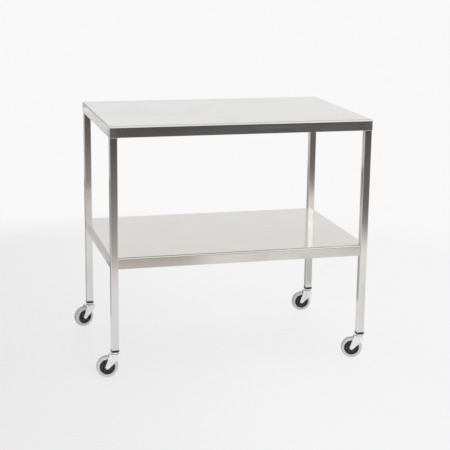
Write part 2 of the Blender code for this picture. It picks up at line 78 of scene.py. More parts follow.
shelf_low, shelf_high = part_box("shelf")
table_centre = Vector(((top_low.x + top_high.x) / 2, (top_low.y + top_high.y) / 2, 0.0))

# %% [markdown]
# ## Tools for node trees
# Materials, the world and Geometry Nodes are all trees of nodes. A few short helpers add a node, set its
# options and feed its inputs, so that each tree below reads as a recipe and not as wiring.

# %% Node helpers
def feed(tree, socket, value):
    """Link an output to a socket, or set the socket's own value."""
    if isinstance(value, bpy.types.NodeSocket):
        tree.links.new(value, socket)
    else:
        socket.default_value = value


def add_node(tree, kind, inputs=None, **options):
    """Add a node with its options, and feed its inputs by name or number."""
    node = tree.nodes.new(kind)
    for option, value in options.items():
        setattr(node, option, value)
    for key, value in (inputs or {}).items():
        feed(tree, node.inputs[key], value)
    return node


def calc(tree, operation, first, second=0.0):
    """The result of a Math node."""
    return add_node(tree, 'ShaderNodeMath', {0: first, 1: second}, operation=operation).outputs[0]


def plus(tree, base, value, share):
    """A value with a share of another one added to it."""
    return calc(tree, 'ADD', base, calc(tree, 'MULTIPLY', value, share))


def remap(tree, value, low, high, to_low, to_high):
    """A value moved from one range to another and held within its ends."""
    ends = {"Value": value, "From Min": low, "From Max": high, "To Min": to_low, "To Max": to_high}
    return add_node(tree, 'ShaderNodeMapRange', ends).outputs["Result"]


def blend(tree, factor, first, second):
    """A colour between two colours."""
    return add_node(tree, 'ShaderNodeMix', {0: factor, 6: first, 7: second}, data_type='RGBA').outputs[2]


def stretch(tree, vector, factors):
    """A vector with each of its parts multiplied by a factor of its own."""
    inputs = {0: vector, 1: factors}
    return add_node(tree, 'ShaderNodeVectorMath', inputs, operation='MULTIPLY').outputs["Vector"]


def length_of(tree, vector):
    return add_node(tree, 'ShaderNodeVectorMath', {0: vector}, operation='LENGTH').outputs["Value"]


def parts_of(tree, vector):
    """The X, Y and Z of a vector."""
    return add_node(tree, 'ShaderNodeSeparateXYZ', {0: vector}).outputs


def cloud(tree, vector, scale, detail=2.0):
    """Soft noise from 0 to 1."""
    inputs = {"Vector": vector, "Scale": scale, "Detail": detail}
    return add_node(tree, 'ShaderNodeTexNoise', inputs).outputs["Fac"]


print("node helpers ready")

# %% [markdown]
# Every material starts in the same way: a value that is the same all over is set on the shader's own
# socket, and patterns read the object's own coordinates, which stay with a piece when it moves.

# %% Material helpers
WHITE = (1.0, 1.0, 1.0)


def rgba(colour):
    return (*colour, 1.0)


def scaled(colour, factor):
    return rgba(part * factor for part in colour)


def object_place(tree):
    return add_node(tree, 'ShaderNodeTexCoord').outputs["Object"]


def bare_tree(holder):
    """The emptied node tree of a new world or material."""
    holder.use_nodes = True
    holder.node_tree.nodes.clear()
    return holder.node_tree


def start_material(name, constants):
    """A material, its tree, its shader's sockets, and where each point lies."""
    material = bpy.data.materials.new(name)
    material.use_nodes = True
    tree = material.node_tree
    sockets = tree.nodes["Principled BSDF"].inputs
    for label, value in constants.items():
        sockets[label].default_value = value
    return material, tree, sockets, object_place(tree)


print("material helpers ready")

# %% [markdown]
# ## The studio
# Bright steel has little colour of its own: what we see on it is the room, so the room comes first. It
# could be a real box of white walls, but then no camera could walk round the table. Here the world is
# white wherever the camera or a reflection sees it, and dimmer where it only gives light, so that pale
# surfaces keep their tone.

# %% White room
ROOM_WHITE = 0.94
ROOM_LIGHT = 0.60
scene.view_settings.view_transform = 'Standard'


def shown_ray(tree):
    """1 for a ray that shows the room: from the camera, off metal or through glass."""
    ray = add_node(tree, 'ShaderNodeLightPath').outputs
    mirrored = calc(tree, 'MAXIMUM', ray["Is Camera Ray"], ray["Is Glossy Ray"])
    return calc(tree, 'MAXIMUM', mirrored, ray["Is Transmission Ray"])


def make_white_room():
    room = bpy.data.worlds.new("white_room")
    tree = bare_tree(room)
    strength = remap(tree, shown_ray(tree), 0.0, 1.0, ROOM_LIGHT, ROOM_WHITE)
    background = add_node(tree, 'ShaderNodeBackground', {"Color": rgba(WHITE), "Strength": strength})
    add_node(tree, 'ShaderNodeOutputWorld', {"Surface": background.outputs[0]})
    return room


scene.world = make_white_room()
print("white room:", ROOM_WHITE, "seen,", ROOM_LIGHT, "as light")

# %% [markdown]
# The floor is a pale sheet with a faint gloss, so the wheels get a soft shadow and a hint of a mirror
# image. A photographer would light white paper from below until its shadows are faint, and sweep it up
# behind the table. Here part of the floor's brightness is a glow of its own, and the glow rises to the
# room's white a step away from the table, which gives the same calm backdrop from every side. Near the
# table the glow is painted darker on the left than on the right: a painted shade of light from the right.

# %% Floor
FLOOR_HALF = 30.0
FLOOR_FINISH = {"Base Color": rgba((0.82, 0.83, 0.835)), "Roughness": 0.42, "Specular IOR Level": 0.30}
GLOW_LEFT = 0.83
GLOW_RIGHT = 0.95
GLOW_SPAN = (-1.0, 0.1)
GLOW_SHARE = 0.80
FADE_START = 1.60
FADE_END = 2.30


def flat_sheet(name, low, high, material):
    """A level or upright rectangle that belongs to the studio and not to the table."""
    mesh = bpy.data.meshes.new(name)
    points = [low, (high[0], low[1], low[2]), high, (low[0], high[1], high[2])]
    mesh.from_pydata(points, [], [(0, 1, 2, 3)])
    mesh.materials.append(material)
    sheet = bpy.data.objects.new(name, mesh)
    scene.collection.objects.link(sheet)
    sheet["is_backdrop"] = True
    return sheet


def make_floor_material():
    material, tree, _, place = start_material("pale_floor", FLOOR_FINISH)
    ends = {"Value": length_of(tree, place), "From Min": FADE_START, "From Max": FADE_END}
    fade = add_node(tree, 'ShaderNodeMapRange', ends, interpolation_type='SMOOTHSTEP').outputs["Result"]
    # painted shade: near the table the glow is darker towards -X, as if the floor were lit from the right
    side_lit_glow = remap(tree, parts_of(tree, place)["X"], *GLOW_SPAN, GLOW_LEFT, GLOW_RIGHT)
    strength = remap(tree, fade, 0.0, 1.0, side_lit_glow, ROOM_WHITE)
    white = add_node(tree, 'ShaderNodeEmission', {"Color": rgba(WHITE), "Strength": strength}).outputs[0]
    share = remap(tree, fade, 0.0, 1.0, GLOW_SHARE, 1.0)
    factor = calc(tree, 'MULTIPLY', share, shown_ray(tree))
    paper = tree.nodes["Principled BSDF"].outputs[0]
    mixed = add_node(tree, 'ShaderNodeMixShader', {0: factor, 1: paper, 2: white}).outputs[0]
    tree.links.new(mixed, tree.nodes["Material Output"].inputs["Surface"])
    return material


flat_sheet("floor", (-FLOOR_HALF, -FLOOR_HALF, 0.0), (FLOOR_HALF, FLOOR_HALF, 0.0), make_floor_material())
print("floor fades to white from", FADE_START, "to", FADE_END)

# %% [markdown]
# In an all-white room polished steel vanishes. Photographers set cards round the table, out of the
# picture, and the steel mirrors them and reads as metal. Only reflections see such a card. Its glow is
# one level all over, or it is graded by steps of distance and level from its near edge, and towards +X by
# steps of its own.

# %% Cards for the reflections
BLEND_SPAN = (0.0, 1.0)


def graded_level(tree, distance, steps, tint):
    """A colour that follows steps of distance and level."""
    last = steps[-1][0]
    ramp = add_node(tree, 'ShaderNodeValToRGB', {"Fac": calc(tree, 'DIVIDE', distance, last)})
    stops = ramp.color_ramp.elements
    while len(stops) < len(steps):
        stops.new(1.0)
    for stop, (reach, level) in zip(stops, steps):
        stop.position = reach / last
        stop.color = scaled(tint, level)
    return ramp.outputs["Color"]


def card_glow(tree, near, levels, tint, right_levels):
    """The inputs of a card's glow: one level, or steps along the card's own -Y from its near edge."""
    if isinstance(levels, float):
        return {"Color": rgba(tint), "Strength": levels}
    part = parts_of(tree, object_place(tree))
    beyond = calc(tree, 'SUBTRACT', calc(tree, 'MULTIPLY', part["Y"], -1.0), near)
    colour = graded_level(tree, beyond, levels, tint)
    if right_levels:
        rightwards = remap(tree, part["X"], *BLEND_SPAN, 0.0, 1.0)
        colour = blend(tree, rightwards, colour, graded_level(tree, beyond, right_levels, tint))
    return {"Color": colour}


def reflection_card(name, low, high, turn, levels, tint=WHITE, right_levels=None):
    """A rectangle that only reflections see, placed in its own axes and then turned about the table."""
    material = bpy.data.materials.new(name)
    tree = bare_tree(material)
    glow = add_node(tree, 'ShaderNodeEmission', card_glow(tree, -high[1], levels, tint, right_levels))
    add_node(tree, 'ShaderNodeOutputMaterial', {"Surface": glow.outputs[0]})
    card = flat_sheet(name, low, high, material)
    card.rotation_euler.z = turn
    card.visible_camera = False
    card.visible_diffuse = False
    card.visible_transmission = False
    card.visible_shadow = False
    print(name, "from", low, "to", high)


print("cards blend to their right-hand steps over", BLEND_SPAN)

# %% [markdown]
# The largest card lies on the floor in front. It is pale where it meets the floor and darker with
# distance, with the warm tone of a studio's own floor, and by other steps on its right. An upright card
# closes it. Grey cards lie behind the table and beside it, and a ceiling hangs over all. A bright strip
# high in front draws a thin line along each fold, and a panel at its right end lights the far right leg.
# Small bounce and shade cards lift or darken single faces of the legs and aprons, and a flag darkens the
# left fold. Each row of the table gives a card's two corners, its turn about the table, and its levels.

# %% Card table
GROUND = 0.002
SHADED = 0.003
LIFTED = 0.004
QUARTER = math.pi / 2
BEHIND = 2 * QUARTER
WARM = (1.0, 0.93, 0.90)
FRONT_LEFT = (
    (0.0, 0.94), (0.20, 0.91), (0.31, 0.75), (0.43, 0.50), (0.71, 0.41), (1.0, 0.353), (1.35, 0.31),
    (1.7, 0.264), (2.15, 0.23), (2.63, 0.175), (3.15, 0.118), (3.85, 0.092), (7.65, 0.06),
)
FRONT_RIGHT = (
    (0.0, 0.94), (0.35, 0.92), (0.50, 0.62), (0.65, 0.30), (0.95, 0.17), (1.4, 0.155), (2.15, 0.15),
    (3.25, 0.135), (3.95, 0.086), (7.65, 0.055),
)
REAR_STEPS = ((0.0, 0.48), (2.1, 0.46), (5.6, 0.50))
FAR_STEPS = ((0.0, 0.60), (20.0, 0.42))
SIDE_STEPS = ((0.0, 0.90), (1.0, 0.70), (3.0, 0.54), (6.0, 0.44), (22.0, 0.38))
CEILING_STEPS = ((0.0, 0.50), (6.7, 0.50), (7.0, 0.92), (16.0, 0.88))
CARDS = (
    ("front_card", (-8.0, -9.0, GROUND), (8.0, -1.35, GROUND), 0.0, FRONT_LEFT, WARM, FRONT_RIGHT),
    ("upright_card", (-8.0, -9.0, GROUND), (8.0, -9.0, 2.4), 0.0, 0.06, WARM),
    ("rear_card", (-0.9, -6.0, GROUND), (3.2, -0.36, GROUND), BEHIND, REAR_STEPS),
    ("far_card", (-2.5, -26.0, GROUND), (0.9, -6.2, GROUND), BEHIND, FAR_STEPS),
    ("right_card", (-1.5, -24.0, GROUND), (1.5, -1.3, GROUND), QUARTER, SIDE_STEPS),
    ("left_card", (-1.2, -24.0, GROUND), (1.2, -2.2, GROUND), -QUARTER, SIDE_STEPS),
    ("ceiling_card", (-8.0, -8.0, 4.6), (8.0, 8.0, 4.6), 0.0, CEILING_STEPS),
    ("bright_strip", (-1.6, -5.4, 1.45), (2.8, -5.4, 4.2), 0.0, 1.15),
    ("right_panel", (1.7, -5.38, 1.45), (3.0, -5.38, 2.3), 0.0, 2.3),
    ("front_bounce", (0.25, -2.3, LIFTED), (1.08, -1.5, LIFTED), 0.0, 1.0),
    ("rear_bounce", (0.60, -2.1, LIFTED), (0.76, -1.15, LIFTED), BEHIND, 0.80),
    ("rear_shade", (0.79, -5.0, SHADED), (3.2, -0.5, SHADED), BEHIND, 0.16),
    ("far_bounce", (0.27, -9.0, LIFTED), (0.76, -3.2, LIFTED), BEHIND + 0.1435, 1.0),
    ("left_flag", (0.55, -2.0, 0.60), (1.0, -2.0, 1.35), BEHIND, 0.50),
    ("right_shade", (0.44, -1.35, LIFTED), (0.62, -0.25, LIFTED), 0.325, 0.58),
)
for card_row in CARDS:
    reflection_card(*card_row)

# %% [markdown]
# Two large softboxes light the set: one overhead and one high in front, behind the camera. The steel has
# its cards to mirror, so the lamps themselves are kept out of the reflections. How strongly a softbox
# lights follows from how bright its face is, so that is what each one is given, and its power is worked
# out from that and its area.

# %% Softboxes
WATTS_PER_FACE = 4.0
SOFTBOXES = (
    ("overhead_softbox", (0.5, 0.2, 3.4), (0.1, 0.0, 0.4), 3.0, 2.4, 1.30),
    ("front_softbox", (0.6, -5.4, 3.1), (0.0, 0.0, 0.6), 4.4, 2.4, 1.80),
)
for name, centre, target, width, height, brightness in SOFTBOXES:
    lamp = bpy.data.lights.new(name, 'AREA')
    lamp.shape = 'RECTANGLE'
    lamp.size = width
    lamp.size_y = height
    lamp.energy = WATTS_PER_FACE * width * height * brightness
    box = bpy.data.objects.new(name, lamp)
    scene.collection.objects.link(box)
    box.location = centre
    box.rotation_euler = (Vector(target) - Vector(centre)).to_track_quat('-Z', 'Y').to_euler()
    box.visible_camera = False
    box.visible_glossy = False
    print(name, "gives", round(lamp.energy, 1), "W")

# %% [markdown]
# The camera stands left of the table's middle and looks down on it a little. Its place, its turn and its
# focal length were fitted to the straight edges of the table in the photograph, so its lens is given in
# pixels of that picture and turned into millimetres here.

# %% Camera
PICTURE_SIDE = 450
FOCAL_PIXELS = 1206.13
SENSOR = 36.0
CAMERA_PLACE = Vector((-1.05945, -4.14581, 1.47256))
CAMERA_YAW = 0.2595
CAMERA_PITCH = 0.2361
CAMERA_ROLL = 0.0127


def make_camera():
    lens = bpy.data.cameras.new("camera")
    lens.sensor_width = SENSOR
    lens.lens = FOCAL_PIXELS / PICTURE_SIDE * SENSOR
    camera = bpy.data.objects.new("camera", lens)
    scene.collection.objects.link(camera)
    level = math.cos(CAMERA_PITCH)
    ahead = Vector((math.sin(CAMERA_YAW) * level, math.cos(CAMERA_YAW) * level, -math.sin(CAMERA_PITCH)))
    upright = ahead.to_track_quat('-Z', 'Y').to_matrix().to_4x4()
    rolled = upright @ Matrix.Rotation(CAMERA_ROLL, 4, 'Z')
    camera.matrix_world = Matrix.Translation(CAMERA_PLACE) @ rolled
    return camera


scene.camera = make_camera()
print("lens", round(scene.camera.data.lens, 2), "mm")

# %% [markdown]
# ## Effects that several finishes share
# Each effect is a shader group, made once and placed in every material that needs it. The first one is
# brushing: a belt leaves long fine lines, so the noise is squeezed across the grain and drawn out along
# it. It reads a UV map whose U runs across the grain and whose V runs along it, in metres.

# %% Brushed grain
BROAD_SHARE = (0.11, 0.25, 1.0)


def make_group(name, inputs, outputs):
    """An empty shader group with named sockets, and its two ends. An input without a value is a vector."""
    group = bpy.data.node_groups.new(name, 'ShaderNodeTree')
    for label, value in inputs.items():
        kind = 'NodeSocketVector' if value is None else 'NodeSocketFloat'
        socket = group.interface.new_socket(label, in_out='INPUT', socket_type=kind)
        if value is not None:
            socket.default_value = value
    for label in outputs:
        group.interface.new_socket(label, in_out='OUTPUT', socket_type='NodeSocketFloat')
    return group, add_node(group, 'NodeGroupInput').outputs, add_node(group, 'NodeGroupOutput').inputs


def make_brushed_grain():
    inputs = {"Vector": None, "Lines Across": 1400.0, "Lines Along": 9.0}
    group, given, made = make_group("brushed_grain", inputs, ["Fine Lines", "Broad Streaks"])
    lines = {"X": given["Lines Across"], "Y": given["Lines Along"]}
    fine = add_node(group, 'ShaderNodeCombineXYZ', lines).outputs[0]
    broad = stretch(group, fine, BROAD_SHARE)
    streaks = cloud(group, stretch(group, given["Vector"], broad), 1.0, 4.0)
    feed(group, made["Fine Lines"], cloud(group, stretch(group, given["Vector"], fine), 1.0, 3.0))
    feed(group, made["Broad Streaks"], remap(group, streaks, 0.30, 0.70, 0.0, 1.0))
    return group


brushed_grain = make_brushed_grain()
print("group", brushed_grain.name)

# %% [markdown]
# A table that is wiped many times a day carries soft smears where the cloth turned, and a few stray
# scratches. The smears are wide noise with a slow swirl; the scratches are the thin borders of long,
# stretched cells.

# %% Handling marks
SCRATCH_TURN = (0.2, 0.3, 0.5)
SCRATCH_STRETCH = (1.0, 0.16, 0.4)
SCRATCH_WIDTH = 0.004


def make_handling_marks():
    inputs = {"Vector": None, "Smear Scale": 5.0, "Scratch Scale": 26.0}
    group, given, made = make_group("handling_marks", inputs, ["Smears", "Scratches"])
    swirl = {"Vector": given["Vector"], "Scale": given["Smear Scale"], "Detail": 4.0, "Distortion": 1.2}
    smear = add_node(group, 'ShaderNodeTexNoise', swirl).outputs["Fac"]
    turn = {"Vector": given["Vector"], "Rotation": SCRATCH_TURN}
    turned_place = add_node(group, 'ShaderNodeMapping', turn).outputs[0]
    cells = {"Vector": stretch(group, turned_place, SCRATCH_STRETCH), "Scale": given["Scratch Scale"]}
    border = add_node(group, 'ShaderNodeTexVoronoi', cells, feature='DISTANCE_TO_EDGE').outputs["Distance"]
    line = remap(group, border, 0.0, SCRATCH_WIDTH, 1.0, 0.0)
    worn = remap(group, cloud(group, given["Vector"], 9.0), 0.52, 0.62, 0.0, 1.0)
    feed(group, made["Smears"], remap(group, smear, 0.40, 0.68, 0.0, 1.0))
    feed(group, made["Scratches"], calc(group, 'MULTIPLY', line, worn))
    return group


handling_marks = make_handling_marks()
print("group", handling_marks.name)

# %% [markdown]
# Edges are touched, knocked and wiped most, so they are polished brighter than the faces between them.
# Each mesh carries a face attribute named edge, which is 1 on tight bends, and this group breaks it up
# with noise. Dust does the opposite: it settles on what faces up, and stays longest near the floor.

# %% Edge polish and dust
DUST_HEIGHT = 0.12


def make_edge_polish():
    inputs = {"Vector": None, "Edge": 0.0, "Breakup Scale": 60.0}
    group, given, made = make_group("edge_polish", inputs, ["Polish"])
    noise = cloud(group, given["Vector"], given["Breakup Scale"], 3.0)
    patches = remap(group, noise, 0.30, 0.62, 0.55, 1.0)
    feed(group, made["Polish"], calc(group, 'MULTIPLY', given["Edge"], patches))
    return group


def make_settled_dust():
    inputs = {"Vector": None, "Normal": None, "Grain Scale": 220.0}
    group, given, made = make_group("settled_dust", inputs, ["Dust"])
    lying = remap(group, parts_of(group, given["Normal"])["Z"], -0.2, 1.0, 0.15, 1.0)
    low = remap(group, parts_of(group, given["Vector"])["Z"], 0.0, DUST_HEIGHT, 1.0, 0.35)
    noise = cloud(group, given["Vector"], given["Grain Scale"], 5.0)
    speckle = remap(group, noise, 0.42, 0.72, 0.0, 1.0)
    feed(group, made["Dust"], calc(group, 'MULTIPLY', calc(group, 'MULTIPLY', lying, low), speckle))
    return group


edge_polish = make_edge_polish()
settled_dust = make_settled_dust()
print("groups", edge_polish.name, "and", settled_dust.name)

# %% [markdown]
# The corners of the top and the shelf are welded, and the seams are ground flush by hand. Grinding leaves
# a small square a little duller than the belt-brushed steel round it. This group is 1 on those squares,
# which it finds by how near a point lies to the table's four corners.

# %% Ground corners
GROUND_REACH = 0.034


def make_ground_corners():
    group, given, made = make_group("ground_corners", {"Vector": None}, ["Ground"])
    inputs = {0: given["Vector"], 1: table_centre}
    moved = add_node(group, 'ShaderNodeVectorMath', inputs, operation='SUBTRACT').outputs["Vector"]
    aside = add_node(group, 'ShaderNodeVectorMath', {0: moved}, operation='ABSOLUTE').outputs["Vector"]
    part = parts_of(group, aside)
    half = (top_high - top_low) / 2
    near_x = remap(group, part["X"], half.x - GROUND_REACH, half.x - GROUND_REACH / 2, 0.0, 1.0)
    near_y = remap(group, part["Y"], half.y - GROUND_REACH, half.y - GROUND_REACH / 2, 0.0, 1.0)
    feed(group, made["Ground"], calc(group, 'MULTIPLY', near_x, near_y))
    return group


ground_corners = make_ground_corners()
print("group", ground_corners.name, "reaches", GROUND_REACH)

# %% [markdown]
# ## Finishes
# A finish places the shared groups, mixes its colours and gloss from them, and ends in a bump of a real
# depth. These helpers do the placing, so that a finish can be read line by line.

# %% Finish helpers
def place_group(tree, group, **values):
    """Put a shared effect in a material, with inputs named in lower case."""
    node = add_node(tree, 'ShaderNodeGroup', node_tree=group)
    for label, value in values.items():
        feed(tree, node.inputs[label.replace("_", " ").title()], value)
    return node.outputs


def add_bump(tree, height, distance, normal=None):
    """A bump of a real depth, on top of another one if given."""
    bump = add_node(tree, 'ShaderNodeBump', {"Height": height, "Distance": distance})
    if normal is not None:
        tree.links.new(normal, bump.inputs["Normal"])
    return bump.outputs["Normal"]


def mesh_value(tree, name):
    """A value that the mesh carries."""
    return add_node(tree, 'ShaderNodeAttribute', attribute_name=name).outputs["Fac"]


def add_dust(tree, place, **values):
    normal = add_node(tree, 'ShaderNodeNewGeometry').outputs["Normal"]
    return place_group(tree, settled_dust, vector=place, normal=normal, **values)["Dust"]


def add_polish(tree, place, **values):
    return place_group(tree, edge_polish, vector=place, edge=mesh_value(tree, "edge"), **values)["Polish"]


def add_dirt(tree, factor, share, clean, dirt):
    """A clean colour with its share of dirt."""
    return blend(tree, calc(tree, 'MULTIPLY', factor, share), clean, rgba(dirt))


print("finish helpers ready")

# %% [markdown]
# Stainless sheet and tube share one recipe. The metal is a plain mirror colour with a little warmth, and
# the brushing shows in three ways: as faint light and dark streaks, as a change of gloss, and as a
# shallow bump. Light spreads across brush lines and not along them, so the shader is anisotropic, with
# its tangent across the grain. Thin sheet is never quite flat, and a slow wave in the bump makes its
# reflections waver. The shelf's copy is darker and warmer than the top's: painted shade from the top
# above it.

# %% Brushed stainless
STEEL = (0.748, 0.738, 0.722)
SHELF_STEEL_PAINTED_SHADE = (0.706, 0.678, 0.640)
STREAK_DARK = 0.975
STREAK_LIGHT = 1.02
SMEAR_TONE = 0.965
SMEAR_SHARE = 0.35
POLISH_TONE = 1.05
BRUSHED_SPREAD = 0.85
SHEET_ROUGHNESS = 0.12
TUBE_ROUGHNESS = 0.14
STREAK_ROUGHNESS = 0.02
SMEAR_ROUGHNESS = 0.025
SCRATCH_ROUGHNESS = 0.05
GROUND_ROUGHNESS = 0.025
POLISH_ROUGHNESS = -0.02
WAVE_SCALE = 3.2
SHEET_WAVE = 0.00045
TUBE_WAVE = 0.00008
LINE_DEPTH = 0.000004


def make_brushed_stainless(name, colour, roughness, wave):
    material, tree, shader, place = start_material(name, {"Metallic": 1.0, "Anisotropic": BRUSHED_SPREAD})
    grain_map = add_node(tree, 'ShaderNodeUVMap', uv_map="grain").outputs["UV"]
    tangent = add_node(tree, 'ShaderNodeTangent', direction_type='UV_MAP', uv_map="grain").outputs[0]
    grain = place_group(tree, brushed_grain, vector=grain_map)
    marks = place_group(tree, handling_marks, vector=place)
    ground = place_group(tree, ground_corners, vector=place)["Ground"]
    polish = add_polish(tree, place)
    streaks = grain["Broad Streaks"]
    streaked = blend(tree, streaks, scaled(colour, STREAK_DARK), scaled(colour, STREAK_LIGHT))
    smears = calc(tree, 'MULTIPLY', marks["Smears"], SMEAR_SHARE)
    smeared = blend(tree, smears, streaked, scaled(colour, SMEAR_TONE))
    feed(tree, shader["Base Color"], blend(tree, polish, smeared, scaled(colour, POLISH_TONE)))
    rough = remap(tree, streaks, 0.0, 1.0, roughness - STREAK_ROUGHNESS, roughness + STREAK_ROUGHNESS)
    rough = plus(tree, rough, marks["Smears"], SMEAR_ROUGHNESS)
    rough = plus(tree, rough, marks["Scratches"], SCRATCH_ROUGHNESS)
    rough = plus(tree, rough, ground, GROUND_ROUGHNESS)
    feed(tree, shader["Roughness"], plus(tree, rough, polish, POLISH_ROUGHNESS))
    slow = add_bump(tree, cloud(tree, place, WAVE_SCALE, 1.0), wave)
    feed(tree, shader["Normal"], add_bump(tree, grain["Fine Lines"], LINE_DEPTH, slow))
    feed(tree, shader["Tangent"], tangent)
    return material


brushed_sheet = make_brushed_stainless("brushed_sheet", STEEL, SHEET_ROUGHNESS, SHEET_WAVE)
# painted shade: the shelf's steel colour is darker and warmer than the top's, for the top above it
brushed_shelf = make_brushed_stainless("brushed_shelf", SHELF_STEEL_PAINTED_SHADE, SHEET_ROUGHNESS, SHEET_WAVE)
brushed_tube = make_brushed_stainless("brushed_tube", STEEL, TUBE_ROUGHNESS, TUBE_WAVE)
print("finishes", brushed_sheet.name, brushed_shelf.name, brushed_tube.name)

# %% [markdown]
# The weld beads and spot welds are the same steel, left as welded: a touch darker, with the straw tint
# that heat leaves, and a coarser surface.

# %% Welds
WELD_GREY = (0.62, 0.60, 0.57)
WELD_STRAW = (0.60, 0.53, 0.44)
WELD_ROUGHNESS = (0.26, 0.38)
WELD_PITS = 0.00005


def make_welded_steel():
    material, tree, shader, place = start_material("welded_steel", {"Metallic": 1.0})
    heat = remap(tree, cloud(tree, place, 180.0), 0.35, 0.65, 0.0, 1.0)
    feed(tree, shader["Base Color"], blend(tree, heat, rgba(WELD_GREY), rgba(WELD_STRAW)))
    feed(tree, shader["Roughness"], remap(tree, heat, 0.0, 1.0, *WELD_ROUGHNESS))
    feed(tree, shader["Normal"], add_bump(tree, cloud(tree, place, 900.0, 3.0), WELD_PITS))
    return material


welded_steel = make_welded_steel()
print("finish", welded_steel.name)

# %% [markdown]
# The pressed parts of the casters are zinc plated. Plating is pale and bright but never as clear as
# chrome: it has a cloudy bloom with a cool tint, fine pits, and it dulls where dust lies.

# %% Bright zinc and bearing steel
METAL_DUST = (0.5, 0.49, 0.47)
METAL_DUST_SHARE = 0.25
BLOOM_ROUGHNESS = 0.08
PLATING_SCRATCHES = 0.12
DUST_ROUGHNESS = 0.15
PLATING_PITS = 0.000012


def make_plated_metal(name, colour, bloom_colour, roughness, metallic):
    material, tree, shader, place = start_material(name, {"Metallic": metallic})
    bloom = remap(tree, cloud(tree, place, 90.0, 4.0), 0.35, 0.68, 0.0, 1.0)
    dust = add_dust(tree, place)
    marks = place_group(tree, handling_marks, vector=place, smear_scale=40.0, scratch_scale=120.0)
    polish = add_polish(tree, place, breakup_scale=300.0)
    clouded = blend(tree, bloom, rgba(colour), rgba(bloom_colour))
    bright = blend(tree, polish, clouded, scaled(colour, POLISH_TONE))
    feed(tree, shader["Base Color"], add_dirt(tree, dust, METAL_DUST_SHARE, bright, METAL_DUST))
    rough = remap(tree, bloom, 0.0, 1.0, roughness, roughness + BLOOM_ROUGHNESS)
    rough = plus(tree, rough, marks["Scratches"], PLATING_SCRATCHES)
    feed(tree, shader["Roughness"], plus(tree, rough, dust, DUST_ROUGHNESS))
    feed(tree, shader["Normal"], add_bump(tree, cloud(tree, place, 1400.0), PLATING_PITS))
    return material


bright_zinc = make_plated_metal("bright_zinc", (0.95, 0.955, 0.96), (0.90, 0.91, 0.925), 0.32, 0.5)
bearing_steel = make_plated_metal("bearing_steel", (0.62, 0.62, 0.63), (0.50, 0.50, 0.50), 0.18, 1.0)
print("finishes", bright_zinc.name, bearing_steel.name)

# %% [markdown]
# The wheel centres and foot plugs are moulded in black nylon, and the wheel's bush in white acetal.
# Moulded plastic takes the fine spark-eroded texture of its tool, shines a little more on edges that rub,
# and shows pale dust. Its tight edges are painted a lighter colour, partly rubbed wear and partly a
# painted highlight.

# %% Moulded plastics
PLASTIC_DUST = (0.42, 0.41, 0.39)
PLASTIC_ROUGHNESS = (0.36, 0.48)
RUBBED_AND_HIGHLIGHT_SHARE = 0.6
RUBBED_ROUGHNESS = -0.10
TOOL_TEXTURE = 0.00003


def make_moulded_plastic(name, colour, rubbed_and_highlight_colour, dust_share):
    material, tree, shader, place = start_material(name, {"IOR": 1.53, "Specular IOR Level": 0.40})
    dust = add_dust(tree, place)
    polish = add_polish(tree, place, breakup_scale=240.0)
    mottled = blend(tree, cloud(tree, place, 140.0, 3.0), scaled(colour, 0.85), scaled(colour, 1.15))
    # painted highlight: tight edges take a lighter colour, partly rubbed wear and partly painted highlight
    worn = add_dirt(tree, polish, RUBBED_AND_HIGHLIGHT_SHARE, mottled, rubbed_and_highlight_colour)
    feed(tree, shader["Base Color"], add_dirt(tree, dust, dust_share, worn, PLASTIC_DUST))
    rough = remap(tree, cloud(tree, place, 320.0), 0.3, 0.7, *PLASTIC_ROUGHNESS)
    feed(tree, shader["Roughness"], plus(tree, rough, polish, RUBBED_ROUGHNESS))
    feed(tree, shader["Normal"], add_bump(tree, cloud(tree, place, 2600.0), TOOL_TEXTURE))
    return material


black_nylon = make_moulded_plastic("black_nylon", (0.014, 0.014, 0.016), (0.34, 0.34, 0.35), 0.07)
white_acetal = make_moulded_plastic("white_acetal", (0.78, 0.78, 0.76), (0.84, 0.84, 0.82), 0.20)
print("finishes", black_nylon.name, white_acetal.name)

# %% [markdown]
# The tyres are non-marking pale grey rubber. Their side walls stay clean and light; the tread and
# shoulders are painted darker, partly as dirt from the floor and partly as painted shade where they turn
# away from the light. The mesh says how far each point lies from the axle, and the colour follows that.

# %% Grey rubber
RUBBER_CLEAN = (0.74, 0.75, 0.76)
TREAD_DIRT_AND_SHADE = (0.50, 0.50, 0.51)
RUBBER_DUST = (0.50, 0.48, 0.45)
RUBBER_DUST_SHARE = 0.20
RUBBER_ROUGHNESS = (0.48, 0.62)
TREAD_FROM = 0.0338
TREAD_FULL = 0.0368
TREAD_WAVER = 0.0006
TREAD_DIRT_AND_SHADE_SHARE = 0.85
RUBBER_PITS = 0.00005


def make_grey_rubber():
    material, tree, shader, place = start_material("grey_rubber", {"IOR": 1.50})
    dust = add_dust(tree, place, grain_scale=160.0)
    patches = cloud(tree, place, 120.0, 4.0)
    clean = blend(tree, patches, scaled(RUBBER_CLEAN, 0.95), scaled(RUBBER_CLEAN, 1.04))
    waver = remap(tree, patches, 0.2, 0.8, -TREAD_WAVER, TREAD_WAVER)
    reach = calc(tree, 'ADD', mesh_value(tree, "reach"), waver)
    # painted shade and dirt: the tread and shoulders darken with distance from the axle
    tread = remap(tree, reach, TREAD_FROM, TREAD_FULL, 0.0, TREAD_DIRT_AND_SHADE_SHARE)
    dirty_and_shaded_tread = blend(tree, tread, clean, rgba(TREAD_DIRT_AND_SHADE))
    feed(tree, shader["Base Color"], add_dirt(tree, dust, RUBBER_DUST_SHARE, dirty_and_shaded_tread, RUBBER_DUST))
    feed(tree, shader["Roughness"], remap(tree, patches, 0.3, 0.7, *RUBBER_ROUGHNESS))
    feed(tree, shader["Normal"], add_bump(tree, cloud(tree, place, 1500.0, 3.0), RUBBER_PITS))
    return material


grey_rubber = make_grey_rubber()
print("finish", grey_rubber.name)

